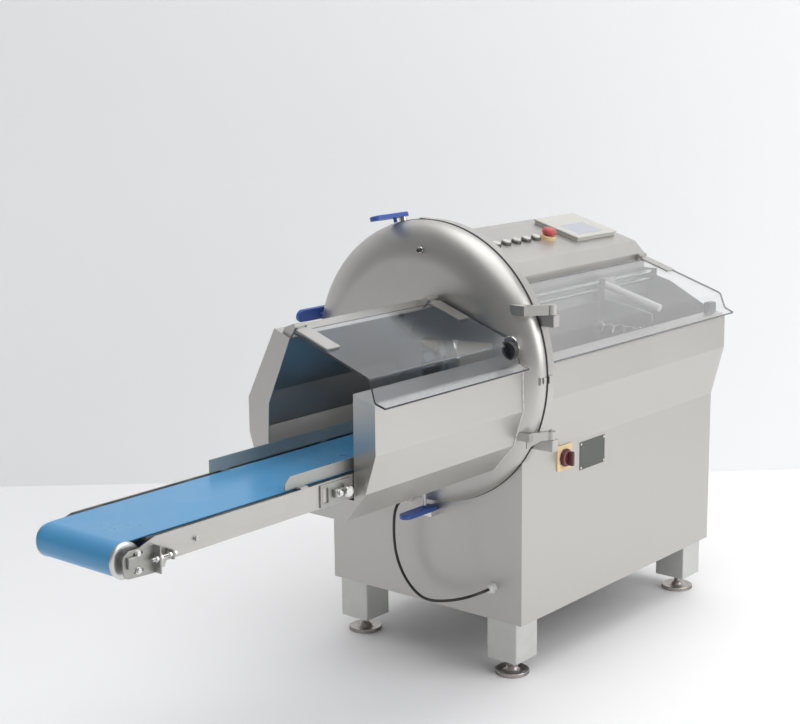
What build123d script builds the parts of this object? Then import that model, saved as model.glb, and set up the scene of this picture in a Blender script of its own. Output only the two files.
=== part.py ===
from build123d import *
import os
from math import atan2, cos, degrees, hypot, pi, radians, sin, sqrt, tan

# Portion slicer: a cabinet with a feed trough, a round cutting drum with a sickle blade,
# and a drum door that carries the outfeed hood and its belt conveyor.
# Millimetres. X runs to the infeed end, Y to the back, Z up. Places are measured from the
# drum's sealing plane (X), the drum's centre line (Y) and the floor (Z); the whole machine
# is moved at the end so that its origin is the middle of its footprint.

ORIGIN_X = -168.5
ORIGIN_Y = 1.0

# Sheet gauges
CABINET_T = 3.0
SHEET_T = 2.5
DOOR_T = 4.0

# Cabinet
CABINET_X0, CABINET_X1 = 3.0, 1000.0
CABINET_BOTTOM = 163.0
CABINET_FRONT, CABINET_BACK = -306.0, 367.0
CABINET_BACK_TOP = 1000.0
BELLY_Y = -346.0
LEDGE_Z = 887.0
LEDGE_INNER_Y = -304.0
FRONT_LINE = [(CABINET_FRONT, CABINET_BOTTOM), (CABINET_FRONT, 627.0), (BELLY_Y, 777.0),
              (BELLY_Y, 873.0), (-336.0, 883.0), (LEDGE_INNER_Y, LEDGE_Z)]

# Roof console
ROOF_X0 = 33.0
ROOF_FRONT_Y = -58.0
FOLD_Y, FOLD_Z = 28.0, 1096.0
RIDGE_Y, RIDGE_Z = 198.0, 1144.0
ROOF_LINE = [(ROOF_FRONT_Y, 1000.0), (ROOF_FRONT_Y, 1046.0), (-24.0, 1080.0), (FOLD_Y, FOLD_Z),
             (RIDGE_Y, RIDGE_Z), (262.0, RIDGE_Z), (CABINET_BACK, 1040.0),
             (CABINET_BACK, CABINET_BACK_TOP)]
CONSOLE_SLOPE = degrees(atan2(RIDGE_Z - FOLD_Z, RIDGE_Y - FOLD_Y))

# Drum, blade and its drive
DRUM_Z = 850.4
DRUM_R = 385.0
DRUM_WALL = 8.0
DRUM_X0, DRUM_X1 = 3.0, 33.0
DRUM_PLATE_T = 6.0
PORT_Y0, PORT_Y1 = -285.0, -75.0
PORT_Z0, PORT_Z1 = 765.0, 960.0
BLADE_X0, BLADE_T = -15.5, 6.0
BLADE_TIP_R, BLADE_HEEL_R = 338.0, 120.0
BLADE_SWEEP = 235.0
BLADE_START = -150.0
BLADE_BEVEL, BLADE_LAND = 20.0, 1.0
SHAFT_R = 25.0
RUNNING_FIT = 0.05
BELT_GAP = 0.3
SHAFT_PULLEY_R, MOTOR_PULLEY_R = 60.0, 45.0
PULLEY_X0, PULLEY_X1 = 190.0, 240.0
MOTOR_Y, MOTOR_Z, MOTOR_R = 60.0, 480.0, 88.0
MOTOR_X0, MOTOR_X1 = 262.0, 560.0
MOTOR_SHAFT_R = 14.0

# Drum door: a dished disc whose rim seals at X = 0
DOOR_FACE_X = -68.0
DOOR_FLAT_R = 280.0
DOOR_EDGE_X = -5.0
DOOR_PORT_Y0, DOOR_PORT_Y1 = -262.0, -25.0
DOOR_PORT_Z0, DOOR_PORT_Z1 = 702.0, 935.0
DOOR_LIP_R = 372.0

# Door hinge, a vertical axis in front of the drum's rim
HINGE_X, HINGE_Y = 15.0, -388.0
HINGE_PIN_R = 5.0
BARREL_R = 12.0
UPPER_ARM_Z0, UPPER_ARM_Z1 = 1016.0, 1042.0
LOWER_ARM_Z0, LOWER_ARM_Z1 = 690.0, 712.0

# Door clamps: angle of each about the drum's axis, from straight up towards the back
CLAMP_X = 18.0
CLAMP_TOP_ANGLE, CLAMP_BACK_ANGLE = 15.5, 76.0
HANDLE_R0, HANDLE_T = 398.0, 12.0
HANDLE_HALF_WIDTH, HANDLE_REACH = 18.0, 105.0
LOW_CLAMP_X, LOW_CLAMP_Y, LOW_CLAMP_Z = -18.0, -14.0, 441.0
LOW_BOLT_REACH, LOW_BOLT_LENGTH = -28.0, 5.0
STRIKER_R, STRIKER_LENGTH = 6.5, 42.0

# Outfeed hood on the door
HOOD_X0 = -627.0
HOOD_LINE = [(-84.0, 1017.0), (-34.0, 1036.0), (60.0, 857.0), (60.0, 771.0), (28.0, 675.0),
             (-34.0, 599.0), (-253.0, 599.0), (-315.0, 675.0), (-347.0, 771.0),
             (-347.0, 891.0), (-281.0, 909.0)]
HOOD_LID_X0, HOOD_LID_X1 = -630.0, -72.0
HOOD_LID_T = 5.0
HOOD_AXIS_Y, HOOD_AXIS_Z = -90.0, 1044.3
HOOD_LID_LINE = [(-101.0, 1034.8), (-337.0, 951.0), (-352.0, 898.0), (-381.0, 890.0)]
HOOD_STRAP_X = (-600.0, -105.0)
KNOB_Y, KNOB_Z, KNOB_R = -337.0, 935.0, 24.0

# Infeed lid on the roof console
INFEED_LID_X0, INFEED_LID_X1 = 41.0, 995.0
INFEED_LID_T = 6.0
INFEED_AXIS_Y, INFEED_AXIS_Z = -66.0, 1040.0
INFEED_LID_LINE = [(-77.0, 1031.0), (-333.0, 945.0), (-350.0, 902.0), (-378.0, 890.0)]
INFEED_STRAP_X = (90.0, 970.0)

# Lid hinges
KNUCKLE_R, LID_PIN_R = 7.0, 4.0
KNUCKLE_W, LUG_W, LUG_GAP = 24.0, 8.0, 0.5
STRAP_T = 4.0

# Outfeed conveyor, carried by the hood
RAIL_NEAR_Y, RAIL_FAR_Y, RAIL_T = -277.0, -7.0, 3.0
RAIL_Z0, RAIL_Z1 = 662.0, 720.0
RAIL_X0, RAIL_X1 = -1290.0, -75.0
BELT_Y0, BELT_Y1, BELT_T = -257.0, -25.0, 2.0
NOSE_X, NOSE_Z, NOSE_R = -1298.0, 683.0, 35.0
NOSE_RING_R = 39.0
DRIVE_X, DRIVE_Z, DRIVE_R = -130.0, 696.0, 22.0
ROLLER_GAP = 0.3
JOURNAL_R = 8.0
DRIVE_JOURNAL_R = 6.0
SNUB_X, SNUB_Z, SNUB_R = -1222.0, 662.0, 8.0
MOUNT_X = (-560.0, -200.0)

# Feed trough and product gripper
TROUGH_X1 = 997.0
TROUGH_LINE = [(-60.5, 1024.0), (-60.5, 990.0), (-76.0, 930.0), (-76.0, PORT_Z0),
               (PORT_Y0, PORT_Z0), (-300.5, LEDGE_Z)]
ROD_Y, ROD_R = -90.0, 6.0
ROD_Z = (990.0, 969.0)
GRIPPER_X0, GRIPPER_X1 = 700.0, 760.0
CLAW_AXIS_X, CLAW_AXIS_Z, CLAW_PIN_R = 686.0, 868.0, 5.0

# Base, legs and feet
FRAME_Z1 = 223.0
TUBE = 60.0
LEG_SIDE, LEG_Z0 = 99.0, 48.0
LEG_X = (8.0, 893.0)
LEG_Y = (-286.0, 248.0)
FOOT_R, SPINDLE_R = 47.5, 10.0

# Console controls, placed along the slope from its front fold
BUTTON_X0, BUTTON_PITCH, BUTTON_ALONG, BUTTON_COUNT = 424.0, 50.0, 67.0, 5
BEZEL_R, BUTTON_R = 15.5, 12.5
ESTOP_X, ESTOP_ALONG = 673.0, 57.0
COLLAR_R, MUSHROOM_R = 24.0, 22.0
HMI_X0, HMI_X1, HMI_DEPTH, HMI_T = 752.0, 968.0, 172.0, 16.0
SCREEN_X0, SCREEN_X1, SCREEN_A0, SCREEN_A1, SCREEN_T = 782.0, 915.0, 17.0, 98.0, 1.5

# Main switch on the cabinet's front
SWITCH_X, SWITCH_Z, SWITCH_PLATE = 197.0, 591.0, 70.0
SWITCH_PLATE_T, SWITCH_STEM_R = 3.0, 5.0

# Cable from the cabinet's lower gland up to the gland below the drum
CABLE_R = 4.0
GLAND_REACH = 25.0
GLANDS = [(-213.8, 254.3), (76.0, 456.0)]
CABLE_ROUTE = [(-22.0, -213.8, 254.3), (-66.0, -213.8, 254.3), (-92.0, -178.0, 240.0),
               (-84.0, -116.0, 218.0), (-70.0, -55.0, 201.0), (-58.0, -6.0, 200.0),
               (-52.0, 38.0, 224.0), (-50.0, 68.0, 260.0), (-50.0, 85.0, 300.0),
               (-54.0, 88.0, 343.0), (-60.0, 84.0, 384.0), (-64.0, 77.0, 430.0),
               (-44.0, 76.0, 456.0), (-22.0, 76.0, 456.0)]


def loop_face(points, radii=None):
    """A flat face from a closed outline, with one corner radius for each point."""
    if radii is None:
        return make_face(Polyline(*points, close=True))
    return make_face(FilletPolyline(*points, radius=radii, close=True))


def yz_prism(points, x0, x1, radii=None):
    """A bar along X whose cross-section is a (Y, Z) outline."""
    return extrude(Plane.YZ.offset(x0) * loop_face(points, radii), x1 - x0)


def xz_prism(points, y0, y1, radii=None):
    """A plate of (X, Z) outline that fills y0 to y1."""
    return extrude(Plane.XZ.offset(-y1) * loop_face(points, radii), y1 - y0)


def block(x0, x1, y0, y1, z0, z1):
    """A rectangular block between two corners."""
    centre = Pos((x0 + x1) / 2, (y0 + y1) / 2, (z0 + z1) / 2)
    return centre * Box(x1 - x0, y1 - y0, z1 - z0)


def round_bar(radius, length, bore=0.0):
    """A round bar standing on the XY plane, with an optional bore."""
    base = (Align.CENTER, Align.CENTER, Align.MIN)
    bar = Cylinder(radius, length, align=base)
    if bore > 0:
        bar -= Cylinder(bore, length, align=base)
    return bar


def x_bar(radius, x0, x1, y, z, bore=0.0):
    """A round bar along X."""
    return Pos(x0, y, z) * Rot(0, 90, 0) * round_bar(radius, x1 - x0, bore)


def y_bar(radius, y0, y1, x, z, bore=0.0):
    """A round bar along Y."""
    return Pos(x, y0, z) * Rot(-90, 0, 0) * round_bar(radius, y1 - y0, bore)


def z_bar(radius, z0, z1, x, y, bore=0.0):
    """A round bar along Z."""
    return Pos(x, y, z0) * round_bar(radius, z1 - z0, bore)


def group(pieces):
    """Separate solids kept together as one sub-part."""
    return Compound([solid for piece in pieces for solid in piece.solids()])


def offset_line(points, distance):
    """The same open line moved sideways, to its left where the distance is positive."""
    moved = []
    for index, (u, v) in enumerate(points):
        before = points[max(index - 1, 0)]
        after = points[min(index + 1, len(points) - 1)]
        first = before if index > 0 else (u, v)
        last = after if index < len(points) - 1 else (u, v)
        normals = []
        for start, end in ((first, (u, v)), ((u, v), last)):
            run = hypot(end[0] - start[0], end[1] - start[1])
            if run > 0:
                normals.append((-(end[1] - start[1]) / run, (end[0] - start[0]) / run))
        nu = sum(n[0] for n in normals) / len(normals)
        nv = sum(n[1] for n in normals) / len(normals)
        scale = distance / (nu * nu + nv * nv)
        moved.append((u + nu * scale, v + nv * scale))
    return moved


def corner_radii(points, inside, gauge, leftward):
    """Bend radii of a folded sheet's two faces, given the radius inside each bend."""
    outer, inner = [], []
    for index in range(1, len(points) - 1):
        (a, b), (c, d), (e, f) = points[index - 1:index + 2]
        left_turn = (c - a) * (f - d) - (d - b) * (e - c) > 0
        on_line, on_offset = inside + gauge, inside
        if left_turn != leftward:
            on_line, on_offset = inside, inside + gauge
        outer.append(on_line)
        inner.append(on_offset)
    return [0] + outer + [0], [0] + inner + [0]


def folded_sheet(points, gauge, x0, x1, inside=3.0, leftward=True):
    """Sheet folded along a (Y, Z) line, its gauge to the left or right of that line."""
    other = offset_line(points, gauge if leftward else -gauge)
    outer, inner = corner_radii(points, inside, gauge, leftward)
    return yz_prism(points + other[::-1], x0, x1, outer + inner[::-1])


def along_slope(x, along, z=0.0):
    """A frame on the console's slope: its X along the machine, its Z off the sheet."""
    slope = radians(CONSOLE_SLOPE)
    origin = (x, FOLD_Y + along * cos(slope) - z * sin(slope),
              FOLD_Z + along * sin(slope) + z * cos(slope))
    return Plane(origin=origin, x_dir=(1, 0, 0), z_dir=(0, -sin(slope), cos(slope)))


def on_drum(angle):
    """A turn about the drum's axis, from straight up towards the back."""
    return Pos(0, 0, DRUM_Z) * Rot(-angle, 0, 0)


def cabinet_shell():
    """Front wrap with its belly and ledge, back panel and two end panels."""
    front = folded_sheet(FRONT_LINE, CABINET_T, CABINET_X0, CABINET_X1, leftward=False)
    back = block(CABINET_X0, CABINET_X1, CABINET_BACK - CABINET_T, CABINET_BACK,
                 CABINET_BOTTOM, CABINET_BACK_TOP)
    ledge_top = [(-155.0, 965.0), (-106.0, 978.0), (-106.0, 1000.0), (-61.0, 1000.0),
                 (CABINET_BACK, CABINET_BACK_TOP), (CABINET_BACK, CABINET_BOTTOM)]
    infeed_end = yz_prism(FRONT_LINE + ledge_top, CABINET_X1 - CABINET_T, CABINET_X1)
    outfeed_end = yz_prism(FRONT_LINE + ledge_top, CABINET_X0, CABINET_X0 + CABINET_T)
    shell = front + back + infeed_end + outfeed_end
    shell -= x_bar(DRUM_R + 0.2, -1.0, DRUM_X1, 0, DRUM_Z)
    shell -= block(-1.0, DRUM_X1, -420.0, 420.0, DRUM_Z - 120.0, 1100.0)
    shell -= y_bar(SWITCH_STEM_R + 1.5, CABINET_FRONT - 1, CABINET_FRONT + 4, SWITCH_X, SWITCH_Z)
    return shell


def roof_console():
    """Sloping console, ridge and back fold, closed by an end wall at each end."""
    skin = folded_sheet(ROOF_LINE, SHEET_T, ROOF_X0, CABINET_X1, leftward=False)
    for x0 in (ROOF_X0, CABINET_X1 - SHEET_T):
        skin += yz_prism(ROOF_LINE, x0, x0 + SHEET_T)
    return skin


def base_frame():
    """Welded square-tube ring with a cross rail under the motor."""
    x0, x1 = CABINET_X0 + CABINET_T, CABINET_X1 - CABINET_T
    y0, y1 = CABINET_FRONT + CABINET_T, CABINET_BACK - CABINET_T
    ring = block(x0, x1, y0, y1, CABINET_BOTTOM, FRAME_Z1)
    ring -= block(x0 + TUBE, x1 - TUBE, y0 + TUBE, y1 - TUBE, CABINET_BOTTOM, FRAME_Z1)
    ring += block(230.0, 290.0, y0 + TUBE, y1 - TUBE, CABINET_BOTTOM, FRAME_Z1)
    return ring


def leg_posts():
    """Four square posts with a closed foot plate, bored for the foot's spindle."""
    posts = []
    for x in LEG_X:
        for y in LEG_Y:
            post = block(x, x + LEG_SIDE, y, y + LEG_SIDE, LEG_Z0, CABINET_BOTTOM)
            post = fillet(post.edges().filter_by(Axis.Z), 4.0)
            post -= block(x + 4, x + LEG_SIDE - 4, y + 4, y + LEG_SIDE - 4,
                          LEG_Z0 + 10.0, CABINET_BOTTOM)
            centre = (x + LEG_SIDE / 2, y + LEG_SIDE / 2)
            post -= z_bar(SPINDLE_R + RUNNING_FIT, LEG_Z0, LEG_Z0 + 10.0, *centre)
            posts.append(post)
    return group(posts)


def levelling_feet():
    """Four feet: round pad with a coned top, threaded spindle and lock nut."""
    feet = []
    for x in LEG_X:
        for y in LEG_Y:
            outline = [(0, 0), (FOOT_R, 0), (FOOT_R, 8.0), (18.0, 20.0), (SPINDLE_R, 22.0),
                       (SPINDLE_R, 85.0), (0, 85.0)]
            foot = revolve(Plane.XZ * loop_face(outline), Axis.Z)
            nut = Pos(0, 0, 40.0) * extrude(RegularPolygon(16.0, 6), 8.0)
            feet.append(Pos(x + LEG_SIDE / 2, y + LEG_SIDE / 2, 0) * (foot + nut))
    return group(feet)


def drum_housing():
    """Drum ring with its back plate, the shaft's bore and the product port."""
    ring = x_bar(DRUM_R, DRUM_X0, DRUM_X1, 0, DRUM_Z, DRUM_R - DRUM_WALL)
    plate = x_bar(DRUM_R - 1.0, DRUM_X1 - DRUM_PLATE_T, DRUM_X1, 0, DRUM_Z, SHAFT_R + 2.0)
    port = block(0, DRUM_X1 + 1, PORT_Y0, PORT_Y1, PORT_Z0, PORT_Z1)
    return ring + plate - port


def door_gasket():
    """Rubber ring between the drum's rim and the door."""
    return x_bar(DRUM_R - 0.5, 0, DRUM_X0, 0, DRUM_Z, DRUM_R - 9.0)


def shear_frame():
    """Frame round the product port; its front face is the blade's counter edge."""
    wall = 8.0
    x0, x1 = BLADE_X0 + BLADE_T + 1.5, DRUM_X1 - DRUM_PLATE_T
    corners = [(PORT_Y0 - wall, PORT_Z0 - wall), (PORT_Y1 + wall, PORT_Z0 - wall),
               (PORT_Y1 + wall, PORT_Z1 + wall), (PORT_Y0 - wall, PORT_Z1 + wall)]
    frame = yz_prism(corners, x0, x1, [12.0] * 4)
    return frame - block(x0 - 1, x1 + 1, PORT_Y0, PORT_Y1, PORT_Z0, PORT_Z1)


def blade_point(turn, radius):
    """A (Y, Z) point of the blade, by turn in degrees and distance from its centre."""
    angle = radians(BLADE_START + turn)
    return (radius * cos(angle), DRUM_Z + radius * sin(angle))


def blade_outline(x, bevel):
    """The blade's outline in a plane across X, its cutting edge drawn in by the bevel."""
    steps = 8
    growth = BLADE_TIP_R - BLADE_HEEL_R
    edge = [blade_point(BLADE_SWEEP * i / steps, BLADE_HEEL_R + growth * i / steps - bevel)
            for i in range(steps + 1)]
    tip = blade_point(BLADE_SWEEP + 5.0, BLADE_TIP_R - 22.0 - bevel / 2)
    back = [tip, blade_point(BLADE_SWEEP + 4.0, 250.0), blade_point(BLADE_SWEEP + 22.0, 160.0),
            blade_point(BLADE_SWEEP + 60.0, 112.0), edge[0]]
    outline = Spline(*edge) + Line(edge[-1], tip) + Spline(*back)
    return Plane.YZ.offset(x) * make_face(outline)


def sickle_blade():
    """Sickle blade: a spiral cutting edge with one long bevel and a hollow back edge."""
    land_x = BLADE_X0 + BLADE_T - BLADE_LAND
    plate = loft([blade_outline(BLADE_X0, BLADE_BEVEL), blade_outline(land_x, 0.0)])
    plate += extrude(blade_outline(land_x, 0.0), BLADE_LAND)
    return plate - x_bar(15.0 + RUNNING_FIT, BLADE_X0 - 1, BLADE_X0 + BLADE_T + 1, 0, DRUM_Z)


def blade_hub():
    """Clamping flange with four screws and the hexagon nut that holds the blade."""
    x1 = BLADE_X0
    flange = x_bar(70.0, x1 - 10.0, x1, 0, DRUM_Z, 15.0 + RUNNING_FIT)
    flange = chamfer(flange.edges().filter_by(GeomType.CIRCLE).sort_by(Axis.X)[0], 3.0)
    hexagon = Plane.YZ.offset(x1 - 30.0) * (Pos(0, DRUM_Z) * RegularPolygon(24.0, 6))
    nut = extrude(hexagon, 20.0) - x_bar(15.0 + RUNNING_FIT, x1 - 31, x1, 0, DRUM_Z)
    hub = flange + nut
    for index in range(4):
        angle = radians(45.0 + 90.0 * index)
        hub += x_bar(6.0, x1 - 14.0, x1 - 9.0, 50.0 * cos(angle), DRUM_Z + 50.0 * sin(angle))
    return hub


def blade_shaft():
    """Stepped shaft: blade seat and collar, bearing seats, pulley seat."""
    back_x = BLADE_X0 + BLADE_T
    shaft = x_bar(15.0, BLADE_X0 - 33.0, back_x, 0, DRUM_Z)
    shaft += x_bar(45.0, back_x, back_x + 8.0, 0, DRUM_Z)
    shaft += x_bar(SHAFT_R, back_x + 8.0, PULLEY_X0, 0, DRUM_Z)
    shaft += x_bar(20.0, PULLEY_X0, PULLEY_X1 + 5.0, 0, DRUM_Z)
    return shaft


def bearing_housing():
    """Flanged barrel behind the drum plate that holds the two shaft bearings."""
    barrel = x_bar(60.0, DRUM_X1, 180.0, 0, DRUM_Z, 45.0)
    flange = x_bar(72.0, DRUM_X1, DRUM_X1 + 10.0, 0, DRUM_Z, 45.0)
    return barrel + flange


def shaft_bearings():
    """Two deep-groove bearings pressed into the barrel."""
    rings = [x_bar(45.0 - 0.02, x0, x0 + 20.0, 0, DRUM_Z, SHAFT_R + RUNNING_FIT)
             for x0 in (45.0, 150.0)]
    return group(rings)


def grooved_pulley(radius, x0, x1, y, z, bore):
    """A flat pulley with a rim at each end."""
    pulley = x_bar(radius, x0, x1, y, z, bore)
    for rim_x in (x0, x1 - 5.0):
        pulley += x_bar(radius + 8.0, rim_x, rim_x + 5.0, y, z, bore)
    return pulley


def shaft_pulley():
    """Large pulley on the blade shaft."""
    return grooved_pulley(SHAFT_PULLEY_R, PULLEY_X0, PULLEY_X1, 0, DRUM_Z, 20.0 + RUNNING_FIT)


def motor_pulley():
    """Small pulley and the motor's own shaft."""
    pulley = grooved_pulley(MOTOR_PULLEY_R, PULLEY_X0, PULLEY_X1, MOTOR_Y, MOTOR_Z, 0.0)
    return pulley + x_bar(MOTOR_SHAFT_R, PULLEY_X1, MOTOR_X0 + 30.0, MOTOR_Y, MOTOR_Z)


def motor_bracket():
    """Upright plate on the base frame's cross rail that carries the motor."""
    plate = block(250.0, MOTOR_X0, MOTOR_Y - 95.0, MOTOR_Y + 95.0, FRAME_Z1, MOTOR_Z + 95.0)
    plate += block(MOTOR_X0, 288.0, MOTOR_Y - 95.0, MOTOR_Y + 95.0, FRAME_Z1, FRAME_Z1 + 10.0)
    return plate - x_bar(30.0, 249.0, MOTOR_X0 + 1, MOTOR_Y, MOTOR_Z)


def drive_motor():
    """Foot-less flange motor with cooling ribs and a terminal box."""
    body = x_bar(MOTOR_R - 8.0, MOTOR_X0, MOTOR_X1, MOTOR_Y, MOTOR_Z)
    body += x_bar(MOTOR_R, MOTOR_X0, MOTOR_X0 + 14.0, MOTOR_Y, MOTOR_Z)
    body += x_bar(MOTOR_R, MOTOR_X1 - 60.0, MOTOR_X1, MOTOR_Y, MOTOR_Z)
    for index in range(16):
        rib = block(MOTOR_X0 + 10.0, MOTOR_X1 - 55.0, -2.0, 2.0, MOTOR_R - 12.0, MOTOR_R - 1.0)
        body += Pos(0, MOTOR_Y, MOTOR_Z) * Rot(22.5 * index, 0, 0) * rib
    body += block(330.0, 430.0, MOTOR_Y - 40.0, MOTOR_Y + 40.0, MOTOR_Z + 70.0, MOTOR_Z + 120.0)
    socket = x_bar(MOTOR_SHAFT_R + RUNNING_FIT, MOTOR_X0 - 1, MOTOR_X0 + 32.0, MOTOR_Y, MOTOR_Z)
    return body - socket


def pulley_loop(grow):
    """Area wrapped by a taut belt round both pulleys, grown by a distance."""
    (y1, z1, r1) = (0.0, DRUM_Z, SHAFT_PULLEY_R + grow)
    (y2, z2, r2) = (MOTOR_Y, MOTOR_Z, MOTOR_PULLEY_R + grow)
    span = hypot(y2 - y1, z2 - z1)
    uy, uz = (y2 - y1) / span, (z2 - z1) / span
    lean = (r1 - r2) / span
    rise = sqrt(1.0 - lean * lean)
    quad = []
    for side, (y, z, r) in ((1, (y1, z1, r1)), (1, (y2, z2, r2)),
                            (-1, (y2, z2, r2)), (-1, (y1, z1, r1))):
        ny, nz = uy * lean - uz * rise * side, uz * lean + uy * rise * side
        quad.append((y + r * ny, z + r * nz))
    return loop_face(quad) + Pos(y1, z1) * Circle(r1) + Pos(y2, z2) * Circle(r2)


def drive_belt():
    """Flat belt from the motor's pulley to the blade shaft's."""
    outline = pulley_loop(BELT_GAP + 4.0) - pulley_loop(BELT_GAP)
    return extrude(Plane.YZ.offset(PULLEY_X0 + 8.0) * outline, PULLEY_X1 - PULLEY_X0 - 16.0)


def door_section(inset):
    """Half section of the dished door in (X, radius), moved inwards by a gauge."""
    face_x, rim_r = DOOR_FACE_X + inset, DRUM_R - inset
    dish = EllipticalCenterArc((DOOR_EDGE_X, DOOR_FLAT_R), DOOR_EDGE_X - face_x,
                               rim_r - DOOR_FLAT_R, start_angle=90, arc_size=90)
    closing = Polyline((DOOR_EDGE_X, rim_r), (0, rim_r), (0, 0), (face_x, 0),
                       (face_x, DOOR_FLAT_R))
    return make_face(dish + closing)


def door_envelope(inset=0.0):
    """The door's outer form as a solid lens."""
    return Pos(0, 0, DRUM_Z) * revolve(door_section(inset), Axis.X)


def outfeed_door():
    """Dished drum door with its sealing lip and the product port."""
    shell = door_envelope() - door_envelope(DOOR_T)
    shell += x_bar(DRUM_R - 1.0, DOOR_EDGE_X + 1.0, 0, 0, DRUM_Z, DOOR_LIP_R)
    striker_z = LOW_CLAMP_Z + HANDLE_T + LOW_BOLT_LENGTH + 1.0
    striker = z_bar(STRIKER_R, striker_z, striker_z + STRIKER_LENGTH,
                    LOW_CLAMP_X + LOW_BOLT_REACH, LOW_CLAMP_Y)
    shell += striker - door_envelope()
    port = block(DOOR_FACE_X - 1, DOOR_FACE_X + 20, DOOR_PORT_Y0, DOOR_PORT_Y1,
                 DOOR_PORT_Z0, DOOR_PORT_Z1)
    return shell - port


def hinge_arm(z0, z1, door_end, gusset_z=0.0):
    """One arm: a flat bar from the door's edge to the barrel on the hinge axis."""
    run = hypot(HINGE_X - door_end[0], HINGE_Y - door_end[1])
    heading = degrees(atan2(HINGE_Y - door_end[1], HINGE_X - door_end[0]))
    height = z1 - z0
    bar = Pos(run / 2, 0, height / 2) * Box(run, 14.0, height)
    if gusset_z:
        web = [(0, 0), (run * 0.62, 0), (0, -gusset_z)]
        bar += Plane.XZ * Pos(0, 0, -4.0) * extrude(loop_face(web), 8.0)
    arm = Pos(door_end[0], door_end[1], z0) * Rot(0, 0, heading) * bar
    pad = Pos(door_end[0] + 8, door_end[1] + 8, (z0 + z1) / 2) * Box(30.0, 44.0, height)
    arm += pad + z_bar(BARREL_R, z0, z1, HINGE_X, HINGE_Y)
    arm -= z_bar(HINGE_PIN_R + RUNNING_FIT, z0, z1, HINGE_X, HINGE_Y)
    return arm - door_envelope()


def hinge_arms():
    """Upper and lower hinge arms, fastened to the door's edge."""
    upper = hinge_arm(UPPER_ARM_Z0, UPPER_ARM_Z1, (-44.0, -334.0))
    lower = hinge_arm(LOWER_ARM_Z0, LOWER_ARM_Z1, (-40.0, -350.0), gusset_z=20.0)
    return group([upper, lower])


def hinge_brackets():
    """Two brackets on the drum's ring, each with its hinge pin."""
    pieces = []
    for z0, z1 in ((UPPER_ARM_Z0 - 31.0, UPPER_ARM_Z0 - 1.0),
                   (LOWER_ARM_Z0 - 31.0, LOWER_ARM_Z0 - 1.0)):
        bracket = block(5.0, 31.0, HINGE_Y - BARREL_R, -330.0, z0, z1)
        bracket -= x_bar(DRUM_R, 0, 40.0, 0, DRUM_Z)
        bracket += z_bar(HINGE_PIN_R, z1, z1 + 27.0, HINGE_X, HINGE_Y)
        pieces.append(bracket)
    return group(pieces)


def ring_clamp_post(angle):
    """Boss on the drum's ring with the stud that a clamp handle turns on."""
    post = z_bar(11.0, DRUM_R - 3.0, HANDLE_R0 - 0.3, CLAMP_X, 0)
    post += z_bar(5.0, HANDLE_R0 - 1.0, HANDLE_R0 + HANDLE_T + 2.0, CLAMP_X, 0)
    return on_drum(angle) * post - x_bar(DRUM_R, 0, 40.0, 0, DRUM_Z)


def clamp_posts():
    """Studs of the three clamps; the lowest stands on a block on the cabinet's face."""
    low = block(LOW_CLAMP_X - 14.0, CABINET_X0, LOW_CLAMP_Y - 14.0, LOW_CLAMP_Y + 14.0,
                LOW_CLAMP_Z - 16.0, LOW_CLAMP_Z - 0.3)
    low += z_bar(5.0, LOW_CLAMP_Z - 1.0, LOW_CLAMP_Z + HANDLE_T + 2.0, LOW_CLAMP_X, LOW_CLAMP_Y)
    posts = [ring_clamp_post(CLAMP_TOP_ANGLE), ring_clamp_post(CLAMP_BACK_ANGLE), low]
    return group(posts)


def paddle(bolt_at, bolt_length, below=True):
    """Clamp handle lying along -X from its pivot, with its pressing bolt."""
    grip = SlotCenterToCenter(HANDLE_REACH, 2 * HANDLE_HALF_WIDTH)
    plate = extrude(Pos(-HANDLE_REACH / 2, 0) * grip, HANDLE_T)
    plate = fillet(plate.edges().group_by(Axis.Z)[-1], 3.0)
    plate -= z_bar(5.0 + RUNNING_FIT, -1, HANDLE_T + 1, 0, 0)
    bolt_z = (-bolt_length, 1.0) if below else (HANDLE_T - 1.0, HANDLE_T + bolt_length)
    return plate + z_bar(5.0, *bolt_z, bolt_at, 0)


def ring_clamp_handle(angle):
    """Handle of a clamp on the drum's ring."""
    return on_drum(angle) * Pos(CLAMP_X, 0, HANDLE_R0) * paddle(-32.0, 11.5)


def clamp_handle_top():
    """Clamp at the top of the drum."""
    return ring_clamp_handle(CLAMP_TOP_ANGLE)


def clamp_handle_back():
    """Clamp at the back of the drum."""
    return ring_clamp_handle(CLAMP_BACK_ANGLE)


def clamp_handle_bottom():
    """Clamp below the drum, turned on a block on the cabinet's face."""
    return Pos(LOW_CLAMP_X, LOW_CLAMP_Y, LOW_CLAMP_Z) * paddle(LOW_BOLT_REACH, LOW_BOLT_LENGTH, below=False)


def outfeed_hood():
    """Folded hood round the conveyor, fitted to the door, with a flange round its mouth."""
    hood = folded_sheet(HOOD_LINE, SHEET_T, HOOD_X0, 0, leftward=False)
    mouth = [(-347.0, 891.0), (-281.0, 909.0), (-279.0, 655.0), (-4.0, 655.0), (-4.0, 757.0),
             (-9.0, 850.0), (-84.0, 1017.0), (-34.0, 1036.0), (60.0, 857.0), (60.0, 771.0),
             (28.0, 675.0), (-34.0, 599.0), (-253.0, 599.0), (-315.0, 675.0), (-347.0, 771.0)]
    hood += yz_prism(mouth, HOOD_X0, HOOD_X0 + SHEET_T)
    return hood - door_envelope()


def lid_lug_pair(x_mid, axis_y, axis_z, foot):
    """Two lugs and the pin between them, for one lid strap."""
    inner = KNUCKLE_W / 2 + LUG_GAP
    lugs = x_bar(LID_PIN_R, x_mid - inner - LUG_W, x_mid + inner + LUG_W, axis_y, axis_z)
    for x0 in (x_mid - inner - LUG_W, x_mid + inner):
        lugs += yz_prism(foot, x0, x0 + LUG_W)
        lugs += x_bar(KNUCKLE_R, x0, x0 + LUG_W, axis_y, axis_z)
    return lugs


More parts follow.
